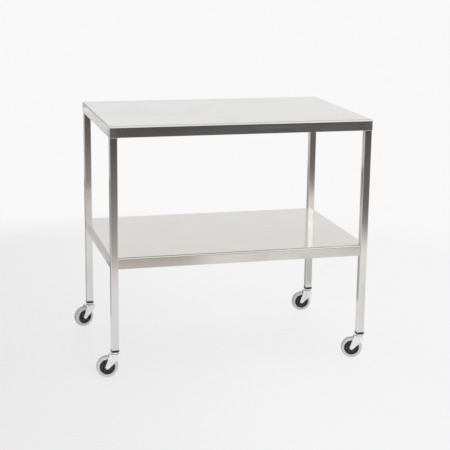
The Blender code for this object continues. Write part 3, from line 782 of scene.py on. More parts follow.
# %% [markdown]
# ## Tools for meshes
# Most pieces here are chains of rings: a tube, a turned pin and a folded pan all join one ring of points
# to the next. The helpers below draw outlines, ease sharp corners as a real edge is eased, and join the
# rings.

# %% Rings and outlines
EASE_SHARE = 0.45


def arc(centre, radius, start, end, steps):
    """Points along an arc, from and to angles in degrees, both ends included."""
    angles = [math.radians(start + (end - start) * step / steps) for step in range(steps + 1)]
    return [(centre[0] + radius * math.cos(angle), centre[1] + radius * math.sin(angle)) for angle in angles]


def eased(points, reach, closed=True, steps=3):
    """An outline with its corners eased by short curves that start a small reach before each corner."""
    result = []
    count = len(points)
    for index, point in enumerate(points):
        here = Vector(point)
        if not closed and index in (0, count - 1):
            result.append(tuple(here))
            continue
        back = Vector(points[index - 1]) - here
        on = Vector(points[(index + 1) % count]) - here
        cut = min(reach, back.length * EASE_SHARE, on.length * EASE_SHARE)
        start = here + back.normalized() * cut
        end = here + on.normalized() * cut
        for step in range(steps + 1):
            share = step / steps
            result.append(tuple(start.lerp(here, share).lerp(here.lerp(end, share), share)))
    return result


def rounded_ring(half_x, half_y, radius, z, steps):
    """A level rectangle with round corners, anticlockwise."""
    ring = []
    for quarter, (side_x, side_y) in enumerate(((1, 1), (-1, 1), (-1, -1), (1, -1))):
        centre = (side_x * (half_x - radius), side_y * (half_y - radius))
        ring += [(x, y, z) for x, y in arc(centre, radius, quarter * 90, quarter * 90 + 90, steps)]
    return ring


def circle_ring(radius, z, sides):
    angles = [math.tau * (side + 0.5) / sides for side in range(sides)]
    return [(radius * math.cos(angle), radius * math.sin(angle), z) for angle in angles]


def add_ring(bm, points):
    return [bm.verts.new(point) for point in points]


def join_rings(bm, upper, lower, wanted=None):
    """Quads between two rings, on the wanted segments or on all of them."""
    count = len(upper)
    for here in range(count):
        if wanted is None or here in wanted:
            after = (here + 1) % count
            bm.faces.new((upper[here], lower[here], lower[after], upper[after]))


def chained(point_rings, bored):
    """A bmesh through a chain of rings: capped at its ends, or joined round a bore."""
    bm = bmesh.new()
    rings = [add_ring(bm, points) for points in point_rings]
    for upper, lower in zip(rings, rings[1:]):
        join_rings(bm, upper, lower)
    if bored:
        join_rings(bm, rings[-1], rings[0])
    else:
        bm.faces.new(rings[0])
        bm.faces.new(reversed(rings[-1]))
    return bm


print("ring helpers ready")

# %% [markdown]
# A finished mesh has its faces outward, its flat faces flat in the shading and its bends smooth. It also
# knows its tight bends, which the finishes polish, and on brushed steel the direction of the grain. A
# modifier that weights normals by face size keeps flats flat without any extra loops.

# %% Finished meshes
EDGE_WIDTH = 0.0012
EDGE_TURN = 0.05
CREASE = math.radians(40)
GRAIN_X = 0
GRAIN_Z = 2


def worked_out(item):
    """The mesh of an object with its modifiers worked out. The object itself goes."""
    graph = bpy.context.evaluated_depsgraph_get()
    ready = item.evaluated_get(graph)
    mesh = bpy.data.meshes.new_from_object(ready, preserve_all_data_layers=True, depsgraph=graph)
    bpy.data.objects.remove(item)
    return mesh


def loose_object(mesh):
    item = bpy.data.objects.new(mesh.name, mesh)
    scene.collection.objects.link(item)
    return item


def mark_edges(mesh):
    """A face attribute that is 1 on the narrow strips in which the surface turns."""
    bm = bmesh.new()
    bm.from_mesh(mesh)
    values = []
    for face in bm.faces:
        area = face.calc_area()
        turns = [(edge.calc_face_angle(0.0), edge.calc_length()) for edge in face.edges]
        tight = any(turn > EDGE_TURN and area < EDGE_WIDTH * length for turn, length in turns)
        values.append(float(tight))
    bm.free()
    mesh.attributes.new("edge", 'FLOAT', 'FACE').data.foreach_set("value", values)


def shaded(mesh):
    """Smooth shading with creases at sharp edges, and flat faces kept flat."""
    mesh.shade_smooth()
    mesh.set_sharp_from_angle(angle=CREASE)
    item = loose_object(mesh)
    item.modifiers.new("flat_faces", 'WEIGHTED_NORMAL').keep_sharp = True
    result = worked_out(item)
    mark_edges(result)
    return result


def plain_mesh(name, bm):
    """A bmesh as a mesh with its faces outward."""
    bmesh.ops.recalc_face_normals(bm, faces=bm.faces)
    mesh = bpy.data.meshes.new(name)
    bm.to_mesh(mesh)
    bm.free()
    return mesh


def ring_mesh(name, point_rings, bored):
    """A finished mesh through a chain of rings."""
    return shaded(plain_mesh(name, chained(point_rings, bored)))


def lay_grain(mesh, along):
    """A UV map in metres, V along the grain and U across it. Faces across the grain take it downwards."""
    layer = mesh.uv_layers.new(name="grain")
    for polygon in mesh.polygons:
        size = [abs(part) for part in polygon.normal]
        facing = size.index(max(size))
        v_axis = along
        if facing == along:
            v_axis = GRAIN_X if along == GRAIN_Z else GRAIN_Z
        u_axis = 3 - facing - v_axis
        for loop in polygon.loop_indices:
            point = mesh.vertices[mesh.loops[loop].vertex_index].co
            layer.data[loop].uv = (point[u_axis], point[v_axis])


print("mesh helpers ready, creases at", round(math.degrees(CREASE)), "degrees")

# %% [markdown]
# A piece rides on one body of the frame, fills a material slot and stands for the nodes that it replaces.
# Most pieces come in fours, one at each corner, so one mesh is copied to the four places.

# %% Pieces and sets
def make_piece(name, mesh, material, body, nodes=()):
    """Put a finished mesh in the scene: it rides on a body and stands for its nodes."""
    mesh.materials.clear()
    mesh.materials.append(material)
    piece = loose_object(mesh)
    piece.name = name
    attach(piece, body)
    if nodes:
        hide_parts(*nodes)


def make_set(kind, node, mesh, material, body, place, grain=None):
    """A copy of a mesh at each corner, on the frame or on that corner's own swivel or wheel."""
    for corner in corners:
        copy = mesh.copy()
        copy.transform(place(corner))
        if grain is not None:
            lay_grain(copy, grain)
        carrier = body if body == "frame" else f"{body}_{corner}"
        make_piece(f"{kind}_{corner}", copy, material, carrier, [f"{node}_{corner}"])


print("sets of", len(corners), "pieces")

# %% [markdown]
# ## The work top
# The top is one stainless sheet: its four edges are folded down into aprons, the aprons' lower edges are
# folded in again between the legs, and the corners are welded and ground smooth. A bevelled box would
# lose the fold's true section, so the outside and the inside of a fold are drawn here, as (inset, z),
# with the sheet between.

# %% Fold sections
SHEET = 0.0015
BEND = 0.0064
BEND_STEPS = 10
CORNER_STEPS = 6
FLAT_MARGIN = 0.0040
RIM_EASE = 0.0004
RETURN_FLANGE = 0.0127
SEAT_GAP = 0.0003
LEG_CORNER = 0.0025
leg_low, leg_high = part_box("leg_front_left")
LEG = leg_high.x - leg_low.x


def fold_outside(height, rim):
    """The outer side of a folded edge, from the flat down to the rim."""
    bend = arc((BEND, height - BEND), BEND, 90, 180, BEND_STEPS)
    return [(BEND + FLAT_MARGIN, height)] + bend + [(0.0, rim + RIM_EASE), (RIM_EASE, rim)]


def fold_inside(height):
    """The inner side of the bend, from the apron up to the flat."""
    bend = arc((BEND, height - BEND), BEND - SHEET, 180, 90, BEND_STEPS)
    return bend + [(BEND + FLAT_MARGIN, height - SHEET)]


print("folds of", SHEET, "sheet with a bend of", BEND)

# %% [markdown]
# The rings of the top run over those sections. Each ring has round corners and two stops on every side,
# where the return flange begins and ends, so the flange can be drawn inward from the rim between its
# stops.

# %% Folded work top
INWARD = ((0, -1, 0), (1, 0, 0), (0, 1, 0), (-1, 0, 0))
leg_reach = leg_high.x - top_low.x + SEAT_GAP


def work_top_ring(half, inset, z):
    """One level of the sheet: each corner's arc, then the two stops on the side that follows it."""
    corner = LEG_CORNER + SHEET
    points = rounded_ring(half.x - inset, half.y - inset, corner, z, CORNER_STEPS)
    result = []
    for quarter in range(4):
        side = points[quarter * (CORNER_STEPS + 1):(quarter + 1) * (CORNER_STEPS + 1)]
        x, y, _ = side[-1]
        if quarter % 2 == 0:
            stop = math.copysign(half.x - leg_reach, x)
            stops = [(stop, y, z), (-stop, y, z)]
        else:
            stop = math.copysign(half.y - leg_reach, y)
            stops = [(x, stop, z), (x, -stop, z)]
        result += side + stops
    return result


def add_return_flange(bm, rim_ring, root_ring, start, inward):
    """The strip that is folded in from the rim, between two stops of its rings."""
    tips = []
    for index in (start, start + 1):
        low = bm.verts.new(rim_ring[index].co + inward)
        high = bm.verts.new(root_ring[index].co + inward)
        tips.append((rim_ring[index], low, high, root_ring[index]))
    for step in range(3):
        bm.faces.new((tips[0][step], tips[0][step + 1], tips[1][step + 1], tips[1][step]))
    bm.faces.new(tips[0])
    bm.faces.new(reversed(tips[1]))


def work_top_mesh():
    half = (top_high - top_low) / 2
    rim = top_low.z
    levels_out = fold_outside(top_high.z, rim) + [(SHEET, rim)]
    levels_in = [(SHEET, rim + SHEET)] + fold_inside(top_high.z)
    bm = bmesh.new()
    outside = [add_ring(bm, work_top_ring(half, inset, z)) for inset, z in levels_out]
    inside = [add_ring(bm, work_top_ring(half, inset, z)) for inset, z in levels_in]
    for chain in (outside, inside):
        for upper, lower in zip(chain, chain[1:]):
            join_rings(bm, upper, lower)
    bm.faces.new(outside[0])
    bm.faces.new(reversed(inside[-1]))
    per_corner = CORNER_STEPS + 3
    starts = [quarter * per_corner + CORNER_STEPS + 1 for quarter in range(4)]
    join_rings(bm, outside[-1], inside[0], set(range(4 * per_corner)) - set(starts))
    for start, inward in zip(starts, INWARD):
        add_return_flange(bm, outside[-1], inside[0], start, Vector(inward) * (RETURN_FLANGE - SHEET))
    return shaded(plain_mesh("work_top_sheet", bm))


top_mesh = work_top_mesh()
top_mesh.transform(Matrix.Translation(table_centre))
lay_grain(top_mesh, GRAIN_X)
make_piece("work_top_sheet", top_mesh, brushed_sheet, "frame", ["table_top"])
print("work top:", len(top_mesh.polygons), "faces")

# %% [markdown]
# ## The shelf
# The shelf is a second folded pan. Its corners are notched so that the legs pass through, and each side
# has its own apron and return flange that end at the legs. One section is drawn and set along the four
# sides, and the notched flat closes what lies between them.

# %% Notched shelf
def shelf_mesh():
    half = (shelf_high - shelf_low) / 2
    height = shelf_high.z
    rim = shelf_low.z
    notch = leg_high.x - shelf_low.x + SEAT_GAP
    section = fold_outside(height, rim)[1:]
    section += [(RETURN_FLANGE, rim), (RETURN_FLANGE, rim + SHEET), (SHEET, rim + SHEET)]
    section += fold_inside(height)[:-1]
    bm = bmesh.new()
    top_outline = []
    under_outline = []
    for normal_x, normal_y in ((0, -1), (1, 0), (0, 1), (-1, 0)):
        reach = half.x if normal_x else half.y
        run = (half.y if normal_x else half.x) - notch
        chains = []
        for along in (-run, run):
            chain = []
            for inset, z in section:
                x = normal_x * (reach - inset) - normal_y * along
                y = normal_y * (reach - inset) + normal_x * along
                chain.append(bm.verts.new((x, y, z)))
            chains.append(chain)
        start, end = chains
        for here in range(len(section) - 1):
            bm.faces.new((start[here], start[here + 1], end[here + 1], end[here]))
        bm.faces.new(start)
        bm.faces.new(reversed(end))
        corner = ((half.x - notch) * (normal_x - normal_y), (half.y - notch) * (normal_x + normal_y))
        top_outline += [start[0], end[0], bm.verts.new((*corner, height))]
        under_outline += [start[-1], end[-1], bm.verts.new((*corner, height - SHEET))]
    bm.faces.new(top_outline)
    bm.faces.new(reversed(under_outline))
    notch_edges = {here for here in range(len(top_outline)) if here % 3}
    join_rings(bm, top_outline, under_outline, notch_edges)
    return shaded(plain_mesh("shelf_pan", bm))


pan_mesh = shelf_mesh()
pan_mesh.transform(Matrix.Translation(table_centre))
lay_grain(pan_mesh, GRAIN_X)
make_piece("shelf_pan", pan_mesh, brushed_shelf, "frame", ["shelf"])
print("shelf:", len(pan_mesh.polygons), "faces")

# %% [markdown]
# ## Stiffeners
# A wide thin sheet drums and sags, so a hat-shaped channel is spot welded under the top and under the
# shelf. Its section is a strip of sheet that follows a path with rounded bends, and the strip is then
# drawn out along X.

# %% Hat channels
HAT_CROWN = 0.040
HAT_BEND = 0.0035
HATS = {"top_stiffener": "top_hat_channel", "shelf_stiffener": "shelf_hat_channel"}


def hat_mesh(node):
    low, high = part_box(node)
    middle = SHEET / 2
    rim = high.z - middle
    foot = low.z + middle
    edge = (high.y - low.y) / 2
    wall = HAT_CROWN / 2 - middle
    bends = [(-edge, rim), (-wall, rim), (-wall, foot), (wall, foot), (wall, rim), (edge, rim)]
    path = eased(bends, HAT_BEND, closed=False, steps=6)
    sides = ([], [])
    for index, point in enumerate(path):
        before = Vector(path[max(index - 1, 0)])
        after = Vector(path[min(index + 1, len(path) - 1)])
        across = (after - before).normalized().orthogonal() * middle
        sides[0].append(Vector(point) + across)
        sides[1].append(Vector(point) - across)
    outline = sides[0] + sides[1][::-1]
    return ring_mesh(node, [[(x, y, z) for y, z in outline] for x in (low.x, high.x)], False)


for node, name in HATS.items():
    mesh = hat_mesh(node)
    lay_grain(mesh, GRAIN_X)
    make_piece(name, mesh, brushed_sheet, "frame", [node])

# %% [markdown]
# ## Legs and foot plugs
# The legs are square tubes, drawn with small round corners and cut square at both ends. The plug in each
# foot is moulded nylon: its square flange shows as a black band below the tube, and its body, hidden in
# the tube, holds the caster's stem. Both are chains of square rings, each given by its half size, corner
# and height.

# %% Square tubes and plugs
LEG_WALL = 0.0015
BORE_CORNER = 0.0010
CUT_EASE = 0.0003
PLUG_EASE = 0.0004
TUBE_STEPS = 6
STEM_RADIUS = 0.0055
stem_bore = STEM_RADIUS + SEAT_GAP
plug_low, plug_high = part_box("insert_front_left")


def square_rings(levels):
    return [rounded_ring(size, size, corner, z, TUBE_STEPS) for size, corner, z in levels]


def leg_mesh():
    half = LEG / 2
    bore = half - LEG_WALL
    levels = [
        (half - CUT_EASE, LEG_CORNER, leg_high.z), (half, LEG_CORNER, leg_high.z - CUT_EASE),
        (half, LEG_CORNER, leg_low.z + CUT_EASE), (half - CUT_EASE, LEG_CORNER, leg_low.z),
        (bore, BORE_CORNER, leg_low.z), (bore, BORE_CORNER, leg_high.z),
    ]
    return ring_mesh("leg_tube", square_rings(levels), True)


def plug_mesh():
    half = (plug_high.x - plug_low.x) / 2
    round_off = LEG_CORNER + half - LEG / 2
    body = LEG / 2 - LEG_WALL - SEAT_GAP
    shoulder = leg_low.z - SEAT_GAP
    levels = [
        (body - PLUG_EASE, BORE_CORNER, plug_high.z), (body, BORE_CORNER, plug_high.z - PLUG_EASE),
        (body, BORE_CORNER, shoulder), (half - PLUG_EASE, round_off, shoulder),
        (half, round_off, shoulder - PLUG_EASE), (half, round_off, plug_low.z + PLUG_EASE),
        (half - PLUG_EASE, round_off, plug_low.z),
    ]
    sides = 4 * (TUBE_STEPS + 1)
    bore = [circle_ring(stem_bore, z, sides) for z in (plug_low.z, plug_high.z)]
    return ring_mesh("foot_plug", square_rings(levels) + bore, True)


def stem_place(corner):
    """From a caster's own axes, with the origin on the floor below the stem, to the table, unturned."""
    stem = joints[SWIVEL + corner]["pos_m"]
    return Matrix.Translation((stem[0], stem[1], 0.0))


make_set("leg_tube", "leg", leg_mesh(), brushed_tube, "frame", stem_place, GRAIN_Z)
make_set("foot_plug", "insert", plug_mesh(), black_nylon, "frame", stem_place)
print("legs:", LEG, "square,", round(leg_high.z - leg_low.z, 4), "long")

# %% [markdown]
# ## Welds
# A weld bead is a row of overlapping ripples along a seam, and spot welds are a row of shallow buttons.
# Both repeat along a path, which is what Geometry Nodes are for: a mesh of bare edges says where the
# seams run, the tree walks along them at a named pitch and sets one small shape at each step.

# %% Geometry Nodes helpers
SIZE = 'NodeSocketFloat'
COUNT = 'NodeSocketInt'


def geometry_tree(name, **sizes):
    """An empty tree with a mesh in, a mesh out, a material and named inputs for its sizes."""
    tree = bpy.data.node_groups.new(name, 'GeometryNodeTree')
    inputs = {"Geometry": 'NodeSocketGeometry', **sizes, "Material": 'NodeSocketMaterial'}
    for label, kind in inputs.items():
        tree.interface.new_socket(label, in_out='INPUT', socket_type=kind)
    tree.interface.new_socket("Geometry", in_out='OUTPUT', socket_type='NodeSocketGeometry')
    return tree, add_node(tree, 'NodeGroupInput').outputs


def close_tree(tree, given, geometry):
    """The end of every tree: real geometry, smooth, with its material."""
    realized = add_node(tree, 'GeometryNodeRealizeInstances', {0: geometry}).outputs[0]
    smooth = add_node(tree, 'GeometryNodeSetShadeSmooth', {"Geometry": realized}).outputs[0]
    paint = {"Geometry": smooth, "Material": given["Material"]}
    painted = add_node(tree, 'GeometryNodeSetMaterial', paint).outputs[0]
    add_node(tree, 'NodeGroupOutput', {0: painted})
    return tree


def grow(base, tree, **values):
    """Run a tree on a base mesh, with its inputs set by identifier, and give back the plain mesh."""
    item = loose_object(base)
    modifier = item.modifiers.new(tree.name, 'NODES')
    modifier.node_group = tree
    for socket in tree.interface.items_tree:
        if socket.in_out == 'INPUT' and socket.name in values:
            modifier[socket.identifier] = values[socket.name]
    return worked_out(item)


def edge_mesh(name, points, edges):
    """A mesh of bare edges."""
    mesh = bpy.data.meshes.new(name)
    mesh.from_pydata(points, edges, [])
    return mesh


def run_mesh(name, runs):
    """One bare edge for each straight run."""
    points = [point for run in runs for point in run]
    return edge_mesh(name, points, [(2 * index, 2 * index + 1) for index in range(len(runs))])


def stepped_curve(tree, given):
    """Points at the tree's pitch along the edges that come in."""
    curve = add_node(tree, 'GeometryNodeMeshToCurve', {0: given["Geometry"]}).outputs[0]
    inputs = {"Curve": curve, "Length": given["Pitch"]}
    return add_node(tree, 'GeometryNodeResampleCurve', inputs, mode='LENGTH').outputs[0]


print("geometry helpers ready")

# %% [markdown]
# Each leg is welded to the top along the rim of its two aprons, and to the shelf from below along the two
# sides of its notch. A swept tube would look extruded. Small spheres of slightly varied size, set closer
# than their own width, overlap into the ripples that a hand-laid bead shows.

# %% Weld beads
BEAD_PITCH = 0.0011
BEAD_RADIUS = 0.0010
BEAD_INSET = 0.0004
BEAD_SEED = 7
BEAD_LEAST = 0.85
BEAD_MOST = 1.1


def weld_bead_tree():
    tree, given = geometry_tree("weld_bead", Pitch=SIZE, Radius=SIZE, Seed=COUNT)
    shape = {"Radius": given["Radius"], "Subdivisions": 2}
    ripple = add_node(tree, 'GeometryNodeMeshIcoSphere', shape).outputs[0]
    tangent = add_node(tree, 'GeometryNodeInputTangent').outputs[0]
    turn = add_node(tree, 'FunctionNodeAlignRotationToVector', {"Vector": tangent}, axis='X').outputs[0]
    spread = {2: BEAD_LEAST, 3: BEAD_MOST, "Seed": given["Seed"]}
    size = add_node(tree, 'FunctionNodeRandomValue', spread, data_type='FLOAT').outputs[1]
    row = {"Points": stepped_curve(tree, given), "Instance": ripple, "Rotation": turn, "Scale": size}
    return close_tree(tree, given, add_node(tree, 'GeometryNodeInstanceOnPoints', row).outputs[0])


def weld_seams():
    """The seams of one leg after another: along the top's rim, and under the shelf along its notch."""
    runs = []
    under_shelf = shelf_high.z - SHEET - BEAD_INSET
    under_rim = top_low.z - BEAD_INSET
    for corner in corners:
        low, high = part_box("leg_" + corner)
        outer_x, inner_x = (low.x, high.x) if low.x < table_centre.x else (high.x, low.x)
        outer_y, inner_y = (low.y, high.y) if low.y < table_centre.y else (high.y, low.y)
        in_x = math.copysign(BEAD_INSET, inner_x - outer_x)
        in_y = math.copysign(BEAD_INSET, inner_y - outer_y)
        start_x = outer_x + math.copysign(LEG_CORNER, in_x)
        start_y = outer_y + math.copysign(LEG_CORNER, in_y)
        outside = (outer_x - in_x, outer_y - in_y, under_rim)
        inside = (inner_x + in_x, inner_y + in_y, under_shelf)
        for x, y, z in (outside, inside):
            runs.append(((start_x, y, z), (inner_x, y, z)))
            runs.append(((x, start_y, z), (x, inner_y, z)))
    return runs


seams = weld_seams()
bead_mesh = grow(run_mesh("weld_seams", seams), weld_bead_tree(), Pitch=BEAD_PITCH, Radius=BEAD_RADIUS,
                 Seed=BEAD_SEED, Material=welded_steel)
make_piece("weld_beads", bead_mesh, welded_steel, "frame")
print("weld beads:", len(seams), "seams,", len(bead_mesh.polygons), "faces")

# %% [markdown]
# Spot welding pinches two sheets between copper tips, which leaves a row of shallow round buttons on the
# rims of each hat channel. A flattened sphere on a step of each rim's middle line is enough.

# %% Spot welds
SPOT_PITCH = 0.055
SPOT_RADIUS = 0.0032
SPOT_HEIGHT = 0.0003


def spot_weld_tree():
    tree, given = geometry_tree("spot_weld", Pitch=SIZE, Radius=SIZE, Flatness=SIZE)
    shape = {"Segments": 20, "Rings": 8, "Radius": given["Radius"]}
    button = add_node(tree, 'GeometryNodeMeshUVSphere', shape).outputs[0]
    flat = {"X": 1.0, "Y": 1.0, "Z": given["Flatness"]}
    squash = add_node(tree, 'ShaderNodeCombineXYZ', flat).outputs[0]
    row = {"Points": stepped_curve(tree, given), "Instance": button, "Scale": squash}
    return close_tree(tree, given, add_node(tree, 'GeometryNodeInstanceOnPoints', row).outputs[0])


def spot_rows():
    """Two rows of spot welds on the rims of each hat channel."""
    rows = []
    for node in HATS:
        low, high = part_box(node)
        rim_middle = (high.y - low.y) / 4 + HAT_CROWN / 4
        z = high.z - SHEET
        for side in (-1, 1):
            y = (low.y + high.y) / 2 + side * rim_middle
            rows.append(((low.x + SPOT_PITCH / 2, y, z), (high.x - SPOT_PITCH / 2, y, z)))
    return rows


spot_mesh = grow(run_mesh("spot_rows", spot_rows()), spot_weld_tree(), Pitch=SPOT_PITCH, Radius=SPOT_RADIUS,
                 Flatness=SPOT_HEIGHT / SPOT_RADIUS, Material=welded_steel)
make_piece("spot_welds", spot_mesh, welded_steel, "frame")
print("spot welds:", len(spot_mesh.polygons), "faces at a pitch of", SPOT_PITCH)

# %% [markdown]
# ## Casters: the stem and its bearing
# Stem, cup, washer and axle pieces are turned parts. Each is a profile of radius and height, read down
# its outer side, with its corners eased, and spun into rings about Z.

# %% Turned pieces of the stem
TURNED_SIDES = 48
TURNED_EASE = 0.0005
STEM_NECK = 0.0040
STEM_CHAMFER = 0.0016
RIVET_RADIUS = 0.0068
RIVET_HEIGHT = 0.0018
WASHER_RADIUS = 0.0100
CUP_RADIUS = 0.0150
CUP_WALL = 0.0014
CUP_ROOF = 0.0026
CUP_SHOULDER = 0.0030
stem_low, stem_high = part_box("stem_front_left")
cup_low, cup_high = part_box("race_cup_front_left")
washer_low, washer_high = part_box("washer_front_left")
CROWN_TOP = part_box("fork_front_left")[1].z


def spun(profile, sides=TURNED_SIDES):
    """The rings of a profile of radius and height about Z."""
    return [circle_ring(radius, z, sides) for radius, z in profile]


def turned(name, profile, bored, ease=TURNED_EASE):
    """A piece turned about Z from a profile with eased corners."""
    return ring_mesh(name, spun(eased(profile, ease, closed=bored)), bored)


def stem_mesh():
    rivet_top = stem_low.z + RIVET_HEIGHT
    shoulder = CROWN_TOP + SEAT_GAP
    profile = [
        (STEM_RADIUS - STEM_CHAMFER, stem_high.z), (STEM_RADIUS, stem_high.z - STEM_CHAMFER),
        (STEM_RADIUS, shoulder), (STEM_NECK, shoulder), (STEM_NECK, rivet_top), (RIVET_RADIUS, rivet_top),
        (STEM_NECK, stem_low.z),
    ]
    return turned("stem_pin", profile, False)


def cup_mesh():
    skirt = CUP_RADIUS - CUP_WALL
    race = cup_high.z - CUP_ROOF
    dome = arc((CUP_RADIUS - CUP_SHOULDER, cup_high.z - CUP_SHOULDER), CUP_SHOULDER, 90, 0, 8)
    profile = [(stem_bore, cup_high.z)] + dome
    profile += eased([(CUP_RADIUS, cup_low.z), (skirt, cup_low.z), (skirt, race)], CUP_WALL / 3)[:-1]
    profile += [(skirt, race), (stem_bore, race)]
    return ring_mesh("race_cup_dome", spun(profile), True)


def washer_mesh():
    bore = STEM_NECK + SEAT_GAP
    top, foot = washer_high.z, washer_low.z
    profile = [(WASHER_RADIUS, top), (WASHER_RADIUS, foot), (bore, foot), (bore, top)]
    return turned("thrust_washer", profile, True)


make_set("stem_pin", "stem", stem_mesh(), bright_zinc, "frame", stem_place)
make_set("race_cup_dome", "race_cup", cup_mesh(), bright_zinc, "frame", stem_place)
make_set("thrust_washer", "washer", washer_mesh(), bright_zinc, "frame", stem_place)
print("stem pieces turned with", TURNED_SIDES, "sides, cup radius", round(CUP_RADIUS, 4))

# %% [markdown]
# Between cup and fork runs a ring of balls, seen as a dark glint in the gap. One ball repeats round a
# circle, and a thin cage keeps them apart, so a small tree makes both: balls on the points of a circle,
# and the cage as a round section swept along it.

# %% Ball ring
BALL_RADIUS = 0.0018
BALL_COUNT = 8
BALL_CLEARANCE = 0.00225
CAGE_RADIUS = 0.0008
CAGE_STEPS = 64
ball_low, ball_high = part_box("ball_ring_front_left")
ball_circle = CUP_RADIUS - CUP_WALL - BALL_CLEARANCE - BALL_RADIUS
ball_height = (ball_low.z + ball_high.z) / 2


def swept(tree, circle, steps, section):
    """A section swept round a circle."""
    ring = {"Resolution": steps, "Radius": circle}
    path = add_node(tree, 'GeometryNodeCurvePrimitiveCircle', ring).outputs[0]
    inputs = {"Curve": path, "Profile Curve": section}
    return add_node(tree, 'GeometryNodeCurveToMesh', inputs).outputs[0]


def ball_ring_tree():
    tree, given = geometry_tree("ball_ring", Circle=SIZE, Ball=SIZE, Cage=SIZE, Count=COUNT)
    spots = {"Vertices": given["Count"], "Radius": given["Circle"]}
    shape = {"Segments": 20, "Rings": 12, "Radius": given["Ball"]}
    row = {
        "Points": add_node(tree, 'GeometryNodeMeshCircle', spots).outputs[0],
        "Instance": add_node(tree, 'GeometryNodeMeshUVSphere', shape).outputs[0],
    }
    balls = add_node(tree, 'GeometryNodeInstanceOnPoints', row).outputs[0]
    wire = {"Resolution": 12, "Radius": given["Cage"]}
    section = add_node(tree, 'GeometryNodeCurvePrimitiveCircle', wire).outputs[0]
    both = add_node(tree, 'GeometryNodeJoinGeometry')
    for part in (swept(tree, given["Circle"], CAGE_STEPS, section), balls):
        tree.links.new(part, both.inputs[0])
    return close_tree(tree, given, both.outputs[0])


def caster_place(corner):
    """From a caster's own axes, X ahead of the stem and Y along the axle, to the table."""
    axle = joints[SPIN + corner]["axis"]
    turn = math.atan2(-axle[0], axle[1])
    return stem_place(corner) @ Matrix.Rotation(turn, 4, 'Z')


def ball_place(corner):
    return caster_place(corner) @ Matrix.Translation((0.0, 0.0, ball_height))


balls = grow(bpy.data.meshes.new("ball_cage"), ball_ring_tree(), Circle=ball_circle, Ball=BALL_RADIUS,
             Cage=CAGE_RADIUS, Count=BALL_COUNT, Material=bearing_steel)
mark_edges(balls)
make_set("ball_cage", "ball_ring", balls, bearing_steel, "swivel", ball_place)
print("ball rings:", BALL_COUNT, "balls on a circle of", round(ball_circle, 4))

# %% [markdown]
# ## Casters: the fork
# The fork is pressed from one strip: a channel with rounded shoulders, cut in side view to a wide crown,
# a knee and a round eye for the axle. The channel and the side view are two simple outlines, and what
# their solids have in common is the fork.

# %% Fork outlines
FORK_SHEET = 0.0025
FORK_BEND = 0.0040
FORK_REAR = 0.0187
FORK_FRONT = 0.0130
FORK_KNEE_DROP = 0.0130
FORK_KNEE_RADIUS = 0.0080
FORK_EYE_RADIUS = 0.0068
FORK_HALF = 0.0157
axle_spot = Vector(joints[SPIN + corners[0]]["pos_m"])
stem_spot = Vector(joints[SWIVEL + corners[0]]["pos_m"])
AXLE_Z = axle_spot.z
TRAIL = (axle_spot - stem_spot).to_2d().length


def touch_angle(point, centre, radius, side):
    """Angle at which the line from a point touches a circle, on its left (1) or its right (-1)."""
    away = Vector(point) - Vector(centre)
    return math.degrees(math.atan2(away.y, away.x) + side * math.acos(radius / away.length))


def fork_side_view():
    eye = (-TRAIL, AXLE_Z)
    rear_top = (-FORK_REAR, CROWN_TOP)
    knee = (FORK_FRONT, CROWN_TOP - FORK_SHEET - FORK_KNEE_DROP)
    rear_touch = touch_angle(rear_top, eye, FORK_EYE_RADIUS, 1)
    front_touch = touch_angle(knee, eye, FORK_EYE_RADIUS, -1)
    half_turn = math.radians(-front_touch) / 2
    knee_centre = (FORK_FRONT - FORK_KNEE_RADIUS, knee[1] + FORK_KNEE_RADIUS * math.tan(half_turn))
    outline = [rear_top] + arc(eye, FORK_EYE_RADIUS, rear_touch, front_touch + 360, 20)
    return outline + arc(knee_centre, FORK_KNEE_RADIUS, front_touch, 0, 8) + [(FORK_FRONT, CROWN_TOP)]


def fork_end_view():
    foot = AXLE_Z - 2 * FORK_EYE_RADIUS
    side = FORK_HALF - FORK_BEND
    z = CROWN_TOP - FORK_BEND
    inner = FORK_BEND - FORK_SHEET
    outline = arc((side, z), FORK_BEND, 0, 90, 8) + arc((-side, z), FORK_BEND, 90, 180, 8)
    outline += [(-FORK_HALF, foot), (FORK_SHEET - FORK_HALF, foot)]
    outline += arc((-side, z), inner, 180, 90, 6) + arc((side, z), inner, 90, 0, 6)
    return outline + [(FORK_HALF - FORK_SHEET, foot), (FORK_HALF, foot)]


print("fork: trail", round(TRAIL, 4), "axle at", round(AXLE_Z, 4))

# %% [markdown]
# The solids come from prisms and drills that cut each other. A cut leaves points on top of each other, so
# they are merged after each one. A Bevel modifier then eases the cut edges, and a long low swelling on
# each side is the rib that is pressed in for stiffness.

# %% Pressed fork
FORK_EASE = 0.00045
EASE_FROM = math.radians(50)
RIB_WIDTH = 0.0026
RIB_HEIGHT = 0.0007
RIB_START = (-0.0030, -0.0100)
RIB_END = (0.0060, 0.0125)
AXLE_HOLE = 0.0043
DRILL_SIDES = 24
MERGE_DISTANCE = 0.00001
on_axle = Matrix.Rotation(math.radians(-90), 4, 'X')


def prism(name, outline, low, high, along):
    """An outline of two coordinates drawn out along X or Y."""
    rings = []
    for end in (low, high):
        rings.append([(end, across, z) if along == "X" else (across, end, z) for across, z in outline])
    return plain_mesh(name, chained(rings, False))


def drill(name, radius, reach, place):
    mesh = plain_mesh(name, chained([circle_ring(radius, z, DRILL_SIDES) for z in (reach, -reach)], False))
    mesh.transform(place)
    return mesh


